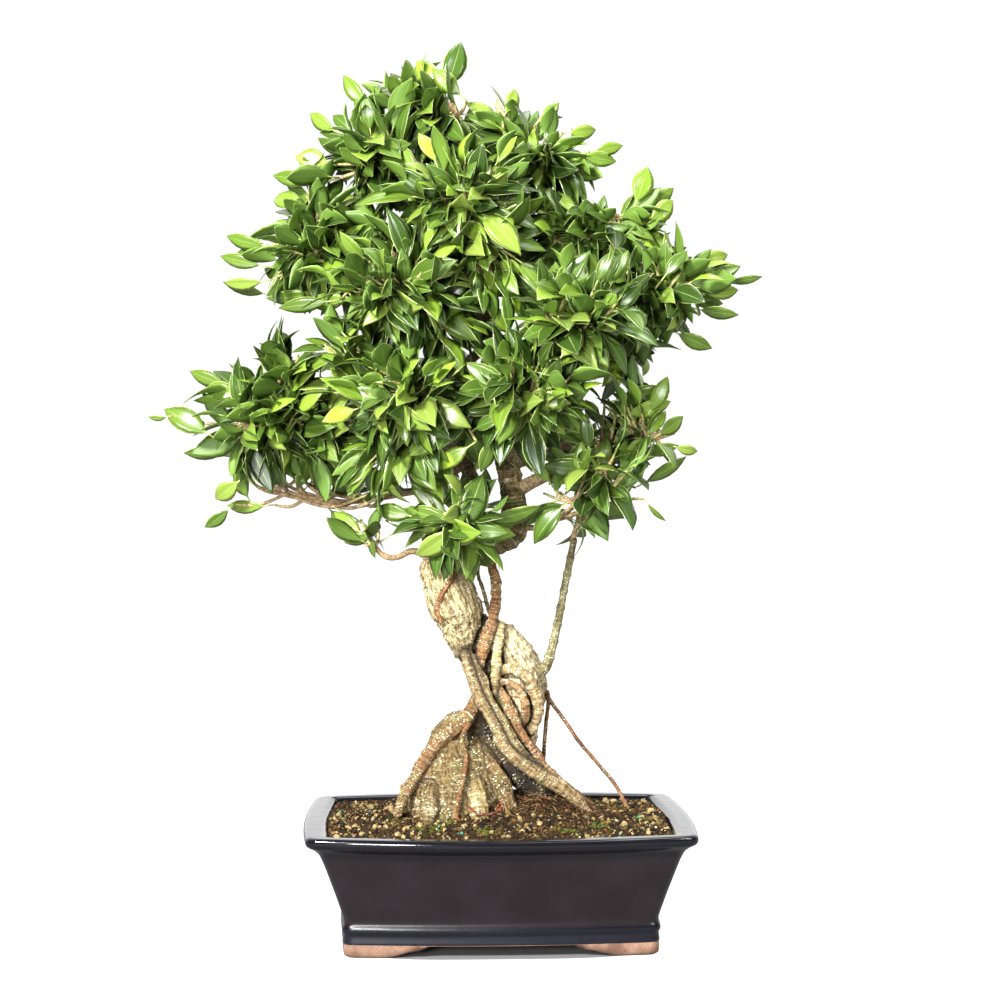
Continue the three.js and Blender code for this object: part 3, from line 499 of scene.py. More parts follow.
# Where they gather: x, y and the spread in each.
heart = np.array([(-40, -28, 34, 26), (38, -34, 34, 18), (74, -26, 22, 12), (10, -44, 30, 16),
                  (0, 0, 110, 70)], float)
which = rng.choice(len(heart), STRANDS, p=(0.24, 0.26, 0.16, 0.16, 0.18))
x, y = (heart[which, :2] + rng.normal(size=(STRANDS, 2)) * heart[which, 2:] * 0.7).T
x, y = x.clip(-155, 155), y.clip(-104, 104)
heading = rng.uniform(0, 2 * np.pi, STRANDS)
long = rng.uniform(5, 20, STRANDS)
bow = rng.normal(0, 0.9, STRANDS)
step = np.linspace(-0.5, 0.5, SAMPLES)
way = heading[:, None] + bow[:, None] * step
line_x = x[:, None] + np.cumsum(long[:, None] / (SAMPLES - 1) * np.cos(way), axis=1)
line_y = y[:, None] + np.cumsum(long[:, None] / (SAMPLES - 1) * np.sin(way), axis=1)
heaped = np.exp(-((x - 52) / 34) ** 2 - ((y + 34) / 15) ** 2) * rng.uniform(0, 12, STRANDS)
arch = (0.25 - step**2) * long[:, None] * rng.uniform(0, 0.9, (STRANDS, 1))
path = np.stack([line_x, line_y, lumpy(line_x, line_y) + 0.5 + heaped[:, None] + arch], axis=-1)
forth = unit(np.gradient(path, axis=1))
flank = unit(np.cross(forth, (0.0, 0.0, 1.0)))
other = np.cross(flank, forth)
taper = np.array([0.6, 1, 1, 1, 0.9, 0.4])
thin = rng.uniform(0.22, 0.55, STRANDS)[:, None, None, None] * taper[None, :, None, None]
turn = np.array([0, 2 * np.pi / 3, 4 * np.pi / 3])
wheel = np.cos(turn)[:, None] * flank[:, :, None] + np.sin(turn)[:, None] * other[:, :, None]
points = (path[:, :, None] + thin * wheel).reshape(-1, 3)
ends = np.array([(2, 1, 0), (15, 16, 17)])
faces = [copied(f, STRANDS, SAMPLES * SIDES) for f in (ring_faces(SAMPLES, SIDES), ends)]
browns = paints(("#3a2818", "#5b3f26", "#7d4a2c", "#a58a5c", "#4d4a22"))
tints = browns[rng.choice(5, STRANDS, p=(0.34, 0.28, 0.14, 0.14, 0.1))]
make_piece("rootlets", points, outwards(points, faces), [tinted("dry_rootlets", 0.8, 900.0)],
           "potting_mix", ["soil"], data={"tint": np.repeat(tints, SAMPLES * SIDES, axis=0)})

# ==== Trunk and roots =======================================================================
# A fig whose aerial roots have swollen and grown into one another: two bulbs, a mound on the soil
# and roots twisted round them, in living bark. The thick ones have fused, so they are one skin.

# Each line is (x, y, z, radius) in mm as seen from the front on the middle plane, y in depth.
FUSED_ROOTS = {
    "left_root": [(-20, -14, 238, 8), (-31, -24, 220, 8.5), (-45, -32, 206, 8.5),
        (-61, -37, 191, 8.5), (-74, -40, 173, 8.5), (-86, -42, 154, 8), (-96, -44, 138, 7.5),
        (-104, -45, 116, 5)],
    "left_toe": [(-60, -26, 176, 7), (-65, -37, 158, 9), (-68, -50, 142, 11), (-71, -61, 122, 10),
        (-73, -66, 108, 7)],
    "middle_toe": [(-35, -26, 178, 7), (-29, -37, 158, 10), (-25, -51, 142, 12),
        (-22, -62, 124, 11), (-20, -68, 106, 9)],
    "right_toe": [(-25, -18, 190, 8), (-12, -28, 170, 11), (-1, -40, 152, 10.5),
        (8, -46, 132, 8.5), (14, -49, 116, 6)],
    "under_root": [(-17, -4, 238, 7), (-20, -6, 226, 9), (-21, -8, 213, 10), (-16, -12, 199, 11),
        (-4, -14, 181, 13), (12, -15, 164, 14), (32, -14, 148, 13), (52, -12, 132, 11),
        (68, -10, 114, 8)],
    "long_root": [(-41, -14, 298, 9.5), (-34, -20, 278, 8), (-27, -26, 253, 7.2),
        (-17.5, -31, 231, 7.2), (-5, -36, 209, 7.5), (7, -39, 186, 8.5), (24, -40, 170, 9),
        (43, -37, 157, 9), (65, -33, 143, 8), (83, -29, 126, 6), (93, -26, 112, 4)],
    "olive_root": [(-36, -16, 290, 4.8), (-30, -20, 280, 5), (-17.5, -28, 256, 5),
        (-8, -34, 234, 5), (6, -40, 209, 5.2), (17, -42, 187, 5.5), (31, -39, 172, 5.5),
        (48, -34, 158, 5)],
    "brown_root": [(-3, -20, 246, 6.5), (5, -25, 231, 7.5), (14, -28, 212, 7.5), (24, -28, 196, 7),
        (34, -26, 182, 7), (41, -24, 169, 6.5), (56, -20, 154, 6.5), (72, -17, 141, 6),
        (90, -13, 127, 5), (104, -9, 113, 3.4)],
    "left_bulb": [(-60, 2, 378, 23), (-55, 0, 366, 27), (-52, -4, 349, 26.5), (-48, -8, 334, 26.5),
        (-42.5, -10, 322, 26.5), (-41, -11, 311, 22.5), (-39.5, -13, 300, 17.5),
        (-38, -14, 289, 13), (-36, -16, 279, 9.5)],
    "right_bulb": [(4, -6, 306, 8), (8, -4, 297, 12), (13, -2, 287, 16), (18, 0, 275, 20),
        (20, 3, 263, 24), (21, 5, 246, 25.5), (21, 5, 231, 24.5), (22, 4, 217, 21),
        (25, 0, 204, 15), (30, -8, 188, 8)],
    "stem": [(-55, 2, 374, 23), (-40, -2, 384, 18), (-20, -6, 387, 14), (2, -8, 393, 13.5),
        (15, -8, 407, 15), (14, -8, 424, 14), (12, -8, 444, 12.5), (8, -6, 468, 12.5),
        (5, -4, 490, 12), (0, 0, 514, 11), (-5, 2, 554, 10), (-10, 4, 604, 9), (-15, 6, 664, 8),
        (-20, 6, 724, 6), (-24, 5, 774, 5)],
    "back_stem": [(-50, 14, 372, 12), (-40, 20, 390, 10), (-30, 26, 412, 10), (-26, 28, 436, 10),
        (-32, 30, 464, 9), (-42, 33, 486, 7)],
    "core_root": [(-19, 1, 318, 8), (-21, 0, 300, 12), (-18, 0, 287, 13), (-10, 2, 276, 13),
        (-6, 0, 254, 14), (0, -4, 232, 13), (6, -8, 210, 12), (12, -14, 192, 10),
        (24, -18, 178, 8), (38, -18, 164, 7)],
    "root_mound": [(-43, -16, 98, 47), (-43, -16, 116, 49), (-44, -16, 134, 48),
        (-45, -15, 152, 44), (-46, -14, 168, 38), (-47, -13, 182, 31), (-47, -12, 194, 24),
        (-42, -11, 206, 18), (-30, -10, 214, 12)],
}
THIN_ROOTS = {
    "hanging_root": [(-13, -14, 386, 7), (-9, -18, 374, 6.5), (-5, -20, 352, 6), (-4, -20, 333, 6),
        (-8, -20, 311, 7), (-15, -21, 291, 7.5), (-19, -22, 272, 5.5), (-20, -24, 256, 3.4)],
    "back_root": [(-26, 4, 378, 5), (-21, 4, 356, 4), (-14, -4, 334, 3.5), (-8, -12, 314, 3.5)],
    "eye_loop": [(0, -20, 263, 5), (12, -25, 265, 5.5), (22, -25, 260, 6.2), (31, -23, 250, 6.5),
        (37, -19, 234, 7), (37, -16, 216, 7), (29, -13, 202, 6)],
    "inner_loop": [(-2, -22, 252, 4.5), (9, -27, 251, 4.8), (19, -28, 244, 4.8),
        (25, -27, 229, 5.4), (25, -24, 212, 5)],
    "ribbed_root": [(2, -16, 312, 5.5), (-1, -20, 298, 6), (-2.5, -21, 283, 6), (-4, -22, 258, 6),
        (-4, -23, 242, 5.5), (0, -24, 226, 5)],
    "sucker": [(36, 2, 262, 9), (45, 2, 266, 6), (50, 2, 278, 4.6), (55.5, 2, 300, 4),
        (61, 4, 327, 3.8), (65, 4, 349, 3.6), (69, 4, 368, 3.6), (72, 4, 384, 3.4),
        (74, 4, 396, 3)],
    "bulb_root": [(-33, -20, 376, 2.6), (-37, -25, 371, 2.8), (-48, -29, 355, 3),
        (-59, -31, 338, 3), (-63, -29, 324, 2.8), (-59, -27, 312, 2.4)],
    "toe_root": [(-31, -36, 210, 2.4), (-38, -43, 195, 2.2), (-34, -46, 176, 2.2),
        (-36, -60, 157, 2.2), (-41, -68, 137, 2.2), (-44, -69, 114, 2)],
    "straight_root": [(47, 4, 242, 2.6), (48.5, 9, 234, 2.2), (46, 14, 209, 2), (44, 20, 181, 2),
        (43, 24, 150, 2), (42, 26, 120, 2)],
    "slant_root": [(45, 6, 242, 2.8), (50, 9, 233, 2.2), (62, 14, 217, 2), (79, 24, 192, 2),
        (95, 34, 173, 2), (117, 48, 146, 2), (130, 56, 120, 2)],
}


def place(seen):
    """Points seen on the middle plane, moved along the line of sight to their depth y.

    x and z about the eye's height spread by 1 + y / eye distance, then turn to the eye.
    """
    x, y, z = np.moveaxis(np.asarray(seen, float), -1, 0)
    spread = 1 + y / EYE_DISTANCE
    c, s = np.cos(EYE_TURN), np.sin(EYE_TURN)
    return np.stack([c * x * spread + s * y, c * y - s * x * spread,
                     EYE_HEIGHT + (z - EYE_HEIGHT) * spread], axis=-1)


def line_through(knots, spacing):
    """Samples x, y, z, r of the curve through placed knots, `spacing` mm apart, and their runs."""
    dense = catmull(knots, 24)
    run = np.append(0, np.cumsum(np.linalg.norm(np.diff(dense[:, :3], axis=0), axis=1)))
    even = np.linspace(0, run[-1], max(4, int(run[-1] / spacing) + 2))
    return np.column_stack([np.interp(even, run, column) for column in dense.T]), even


def frames(path):
    """Tangent and two sides at each sample; the first side is carried along the path."""
    tangent = unit(np.gradient(path, axis=0))
    side, sides = np.array([0.31, -0.95, 0.05]), []
    for t in tangent:
        side = unit(side - side @ t * t)
        sides.append(side)
    return tangent, np.array(sides), np.cross(tangent, sides)


def tube(samples, run, sides, swell=None):
    """Closed tube, centre + r (cos t across + sin t other), domed at both ends.

    `swell` gives the radius's growth from (r cos t, r sin t, run). Returns those coordinates too.
    """
    path, radius = samples[:, :3], samples[:, 3]
    tangent, across, other = frames(path)
    turn = np.linspace(0, 2 * np.pi, sides, endpoint=False)
    wheel = np.stack([np.cos(turn), np.sin(turn)], axis=-1)
    grain = np.concatenate([radius[:, None, None] * wheel,
                            np.broadcast_to(run[:, None, None], (len(run), sides, 1))], axis=-1)
    reach = radius[:, None] + (swell(grain) if swell else 0)
    rings = path[:, None] + reach[..., None] * (wheel[:, :1] * across[:, None]
                                                + wheel[:, 1:] * other[:, None])
    ends = path[[0, -1]] + [[-0.5], [0.5]] * radius[[0, -1], None] * tangent[[0, -1]]
    grain = np.vstack([grain.reshape(-1, 3), [[0, 0, run[0]], [0, 0, run[-1]]]])
    return *closed_rings(rings, ends), grain


def joined(parts):
    """Several sets of points and faces as one, with the faces of equal corners together."""
    starts = np.cumsum([0] + [len(part[0]) for part in parts[:-1]])
    corners = sorted({f.shape[1] for part in parts for f in part[1]}, reverse=True)
    faces = [np.vstack([f + s for part, s in zip(parts, starts) for f in part[1]
                        if f.shape[1] == n]) for n in corners]
    return np.vstack([part[0] for part in parts]), faces


def fused_skin(points, faces, voxel):
    """The outer skin of overlapping closed shells as even quads of about `voxel` mm."""
    mesh = bpy.data.meshes.new("shells")
    mesh.from_pydata(points.tolist(), [], [f for group in faces for f in group.tolist()])
    shells = bpy.data.objects.new("shells", mesh)
    bpy.context.collection.objects.link(shells)
    skin = shells.modifiers.new("skin", "REMESH")
    skin.mode, skin.voxel_size = "VOXEL", voxel
    made = shells.evaluated_get(bpy.context.evaluated_depsgraph_get()).data
    co = np.empty(len(made.vertices) * 3, np.float32)
    quads = np.empty(len(made.loops), np.int32)
    made.vertices.foreach_get("co", co)
    made.loops.foreach_get("vertex_index", quads)
    bpy.data.objects.remove(shells)
    return co.reshape(-1, 3).astype(float), quads.reshape(-1, 4)


def relaxed(points, quads, rounds):
    """Each point moved half way to the mean of its neighbours, `rounds` times."""
    a = np.concatenate([quads.ravel(), np.roll(quads, 1, axis=1).ravel()])
    b = np.concatenate([np.roll(quads, 1, axis=1).ravel(), quads.ravel()])
    count = np.bincount(a, minlength=len(points))[:, None]
    for _ in range(rounds):
        mean = np.column_stack([np.bincount(a, points[b, k], len(points)) for k in range(3)])
        points = (points + mean / count) / 2
    return points


def point_normals(points, quads):
    """Unit normals: each point's sum of its quads' crossed diagonals."""
    p = points[quads]
    across = np.cross(p[:, 2] - p[:, 0], p[:, 3] - p[:, 1])
    total = np.column_stack([np.bincount(quads.ravel(), np.repeat(across[:, k], 4), len(points))
                             for k in range(3)])
    return unit(total)


# Each root's colour, and how deep its lengthwise fibres and its crosswise rings are, in mm.
BARK_LOOKS = {
    "left_root": ("#99744c", 0.4, 0.4), "left_toe": ("#867148", 0.6, 0.35),
    "middle_toe": ("#aa9762", 0.5, 0.35), "right_toe": ("#886e43", 0.6, 0.3),
    "long_root": ("#a89066", 0.35, 0.35), "olive_root": ("#94855a", 0.2, 0.15),
    "brown_root": ("#a87c55", 0.35, 0.4), "left_bulb": ("#cbb98c", 1.3, 0.1),
    "right_bulb": ("#efdfb3", 1.1, 0.2), "stem": ("#9c8a5c", 0.8, 0.5),
    "back_stem": ("#94825a", 0.6, 0.3), "root_mound": ("#867246", 0.8, 0.25),
    # Painted shade: the core root and the under root are coloured nearly black to stand for the
    # dark hollow between the roots, not as their bark's colour.
    "core_root": ("#3a2c1a", 0.5, 0.2), "under_root": ("#20160c", 0.6, 0.2),
    "hanging_root": ("#a0744a", 0.3, 0.5), "back_root": ("#8a7650", 0.3, 0.3),
    "eye_loop": ("#c2aa7e", 0.5, 0.5), "inner_loop": ("#b08c62", 0.4, 0.5),
    "ribbed_root": ("#d8c690", 0.3, 0.9),
    "bulb_root": ("#a87850", 0.1, 0.1), "toe_root": ("#9c6c44", 0.1, 0.1),
    "straight_root": ("#a07c52", 0.1, 0.1), "slant_root": ("#ac7a5a", 0.1, 0.1),
    "sucker": ("#97916a", 0.2, 0.3),
}
ROOT_SPACING, ROOT_VOXEL = 3.0, 1.75  # mm
LOOKS_MIX, CREASE_REACH = 2.5, 5.5  # mm from where two roots meet
BARK_LUMPS = 1.0  # mm that the skin starts inside the line's radius, for the lumps to fill
FUSED_THIN = ("hanging_root", "back_root", "eye_loop", "inner_loop", "ribbed_root")


def placed_knots(seen):
    """The knots of a line with their points placed and their radii kept."""
    seen = np.asarray(seen, float)
    return np.column_stack([place(seen[:, :3]), seen[:, 3:]])


def bark_material():
    """Living fig bark, thin and smooth between cracks: cream to olive brown, specked all over
    with pale raised pores, fibrous along the bulbs and ringed across the roots, and darkened by
    painted shade where two roots meet."""
    bark, tree, shader = new_material("fig_bark", Roughness=0.75, IOR=1.4)
    tint = add(tree, "Attribute", {"attribute_name": "tint"}, out="Vector")
    grain = add(tree, "Attribute", {"attribute_name": "grain"}, out="Vector")
    crease = add(tree, "Attribute", {"attribute_name": "crease"}, out="Fac")
    ringed = add(tree, "Attribute", {"attribute_name": "ringed"}, out="Fac")
    place_at = add(tree, "TexCoord", out="Object")
    # Fibres: 2.5 mm apart and some 20 mm long. Rings: 3 mm apart round the root.
    along = add(tree, "VectorMath", {"operation": "MULTIPLY", 1: (0.4, 0.4, 0.05), 0: grain})
    fibre = add(tree, "TexNoise", {"Scale": 1.0, "Detail": 4.0, "Roughness": 0.6,
                "Vector": along})
    over = add(tree, "VectorMath", {"operation": "MULTIPLY", 1: (0.05, 0.05, 0.34), 0: grain})
    ring = add(tree, "TexNoise", {"Scale": 1.0, "Detail": 5.0, "Roughness": 0.65, "Vector": over})
    # Pores: one to some 4 mm of bark, dashes 3 mm by 1 mm that lie across the root.
    spot_at = add(tree, "VectorMath", {"operation": "MULTIPLY", 1: (0.26, 0.26, 0.6), 0: grain})
    pore = add(tree, "TexVoronoi", {"Scale": 1.0, "Randomness": 1.0, "Vector": spot_at})
    pore_edge = add(tree, "MapRange", {"From Min": 0.34, "From Max": 0.22, "Value": pore})
    patch = add(tree, "TexNoise", {"Scale": 70.0, "Detail": 2.0, "Vector": place_at})
    patchy = add(tree, "MapRange", {"From Min": 0.4, "From Max": 0.6, "Value": patch})
    pores = add(tree, "Math", {"operation": "MULTIPLY", 0: pore_edge, 1: patchy})
    fine = add(tree, "TexNoise", {"Scale": 420.0, "Detail": 4.0, "Roughness": 0.7,
               "Vector": place_at})
    split = add(tree, "ValToRGB", {"stops": [(0.4, "#3a301e"), (0.47, "#9a8c70"),
                (0.55, "#ffffff")], "Fac": fibre})
    band = add(tree, "ValToRGB", {"stops": [(0.36, "#6f5c42"), (0.46, "#c6bca9"),
               (0.54, "#ffffff")], "Fac": ring})
    shade = add(tree, "Mix", {"data_type": "RGBA", 0: ringed, 6: split, 7: band}, out=2)
    first = add(tree, "Mix", {"data_type": "RGBA", "blend_type": "MULTIPLY", 0: 0.9, 6: tint,
                7: shade}, out=2)
    second = shaded(tree, first, fine, "#7d6f56", 0.36, 0.56, share=0.7)
    # Moss and algae: an olive cast in broad patches.
    mossy = add(tree, "MapRange", {"From Min": 0.52, "From Max": 0.68, "To Max": 0.5,
                "Value": patch})
    green = add(tree, "Mix", {"data_type": "RGBA", 7: "#6f6a34", 0: mossy, 6: second}, out=2)
    ring_line = add(tree, "MapRange", {"From Min": 0.6, "From Max": 0.65, "Value": ring})
    ring_share = add(tree, "Math", {"operation": "MULTIPLY", 0: ring_line, 1: ringed})
    third = add(tree, "Mix", {"data_type": "RGBA", 7: "#efe3c4", 0: ring_share, 6: green}, out=2)
    pore_share = add(tree, "Math", {"operation": "MULTIPLY", 1: 0.9, 0: pores})
    fourth = add(tree, "Mix", {"data_type": "RGBA", 7: "#f4ebd4", 0: pore_share, 6: third}, out=2)
    # Painted shade: the colour is darkened towards #2c2013 by the crease attribute, where two roots
    # meet.
    fifth = add(tree, "Mix", {"data_type": "RGBA", 7: "#2c2013", 0: crease, 6: fourth}, out=2)
    high = add(tree, "Math", {"operation": "MULTIPLY_ADD", 1: 0.8, 0: fibre, 2: ring})
    higher = add(tree, "Math", {"operation": "MULTIPLY_ADD", 1: 0.35, 0: pores, 2: high})
    bump = add(tree, "Bump", {"Strength": 1.0, "Distance": 0.0022, "Height": higher})
    fill(shader, {"Base Color": fifth, "Normal": bump})
    return bark


bark = bark_material()
fused_lines = {name: line_through(placed_knots(knots), ROOT_SPACING)
               for name, knots in [*FUSED_ROOTS.items(),
                                   *((n, THIN_ROOTS[n]) for n in FUSED_THIN)]}
shells = [tube(np.column_stack([samples[:, :3], samples[:, 3] - BARK_LUMPS]), run, 20)
          for samples, run in fused_lines.values()]
points, quads = fused_skin(*joined(shells), ROOT_VOXEL)
points = relaxed(points, quads, 2)

# The nearest line to each point of the skin gives its place along and round that root.
samples = np.vstack([s for s, _ in fused_lines.values()])
firsts = np.cumsum([0] + [len(s) for s, _ in fused_lines.values()][:-1])
tangent, across, other = (np.vstack(group) for group in zip(
    *(frames(s[:, :3]) for s, _ in fused_lines.values())))
# Every root's run starts well past the last one's, so that no two have the same grain.
runs = np.concatenate([run + 900 * i for i, (_, run) in enumerate(fused_lines.values())])
nearest, apart = [], []
for chunk in np.array_split(points, 24):
    gap = np.sqrt(np.maximum((chunk**2).sum(1)[:, None] + (samples[:, :3]**2).sum(1)
                             - 2 * chunk @ samples[:, :3].T, 0)) - samples[:, 3]
    nearest.append(gap.argmin(1))
    apart.append(np.minimum.reduceat(gap, firsts, axis=1))
nearest, apart = np.concatenate(nearest), np.vstack(apart)
away = points - samples[nearest, :3]
along = (away * tangent[nearest]).sum(1)
grain = np.column_stack([(away * across[nearest]).sum(1), (away * other[nearest]).sum(1),
                         runs[nearest] + along])
share = np.exp(-np.maximum(apart - apart.min(1, keepdims=True), 0) / LOOKS_MIX)
share /= share.sum(1, keepdims=True)
looks = [BARK_LOOKS[name] for name in fused_lines]
tint = share @ paints(look[0] for look in looks)
fibre_depth, ring_depth = (share @ np.array([depths for _, *depths in looks])).T
# Painted shade: crease rises to 1 where two roots meet within CREASE_REACH mm. The bark's colour is
# darkened there, less on the root mound, and the skin also dips a little.
closest = np.sort(apart, axis=1)
crease = np.clip(1 - (closest[:, 1] - closest[:, 0]) / CREASE_REACH, 0, 1) ** 1.5
crease *= 1 - 0.75 * np.clip(2 * share[:, list(fused_lines).index("root_mound")], 0, 1)

twist = grain[:, 2] / 60
turned = np.column_stack([grain[:, 0] * np.cos(twist) - grain[:, 1] * np.sin(twist),
                          grain[:, 0] * np.sin(twist) + grain[:, 1] * np.cos(twist)])
fibres = ripple(np.column_stack([turned / 5, grain[:, 2] / 60]), 1, 3)
rings = ripple(np.column_stack([grain[:, :2] / 50, grain[:, 2] / 5.5]), 1, 5)
lumps = 1.0 * ripple(points, 26, 7) + 0.6 * ripple(points, 9, 9)
rise = fibre_depth * 1.3 * fibres + ring_depth * rings + lumps - 0.9 * crease
points = points + point_normals(points, quads) * rise[:, None]
make_piece("trunk_and_roots", points, outwards(points, [quads]), [bark], "bark", ["trunk"],
           data={"tint": tint, "grain": grain, "crease": crease * 0.95,
                 "ringed": np.clip(ring_depth / 0.7, 0, 1)})

# ==== Free aerial roots and the sucker ======================================================
# Thin roots that reach the soil on their own or cling to a bulb, and the upright sucker: pencil
# thin or less, round and smooth, with a swelling at each old leaf scar of the sucker.

NODE_GAP = 17.0  # mm between the sucker's leaf scars


def root_swell(seed, scars=0.0):
    """Growth of a root's radius: 0.22 mm lumps, and a ridge at each scar along it.

    The ridge is scars e^(-(9 d)^2), with d the distance to the scar as a share of NODE_GAP.
    """
    def swell(grain):
        lump = 0.22 * ripple(np.concatenate([grain[..., :2] / 6, grain[..., 2:] / 16], -1), 1, seed)
        return lump + scars * np.exp(-((grain[..., 2] / NODE_GAP % 1 - 0.5) * 9) ** 2)
    return swell


aerial, tints, grains = [], [], []
for i, (name, knots) in enumerate(THIN_ROOTS.items()):
    if name in FUSED_THIN:
        continue
    samples, run = line_through(placed_knots(knots), 1.6 if name == "sucker" else 2.2)
    part = tube(samples, run + 300 * i, 12, root_swell(20 + i, 0.9 if name == "sucker" else 0))
    aerial.append(part)
    tints.append(np.tile(paints([BARK_LOOKS[name][0]]), (len(part[0]), 1)))
    grains.append(part[2])
# A twig that fell on the root mound.
fallen = placed_knots([(-32, -78, 127, 1.2), (-26, -84, 121, 1.3), (-14, -87, 118, 1.3),
                       (-3, -84, 121, 1.2), (2, -80, 128, 1.0), (-2, -76, 133, 0.8)])
samples, run = line_through(fallen, 1.5)
aerial.append(tube(samples, run + 5000, 8))
tints.append(np.tile(paints(["#8a3f24"]), (len(aerial[-1][0]), 1)))
grains.append(aerial[-1][2])
points, faces = joined(aerial)
make_piece("aerial_roots", points, faces, [bark], "bark", ["trunk"],
           data={"tint": np.vstack(tints), "grain": np.vstack(grains),
                 "crease": np.zeros(len(points)), "ringed": np.full(len(points), 0.4)})

# ==== Leafy branches ========================================================================
# Each branch is a woody limb with green twigs, and pointed oval leaves set in a spiral along them
# on short stalks. "limb" is (x, y, z, radius), "at" and "reach" the middle and the half sizes of
# its pad of foliage to the leaf tips, all in mm as seen from the front on the middle plane.

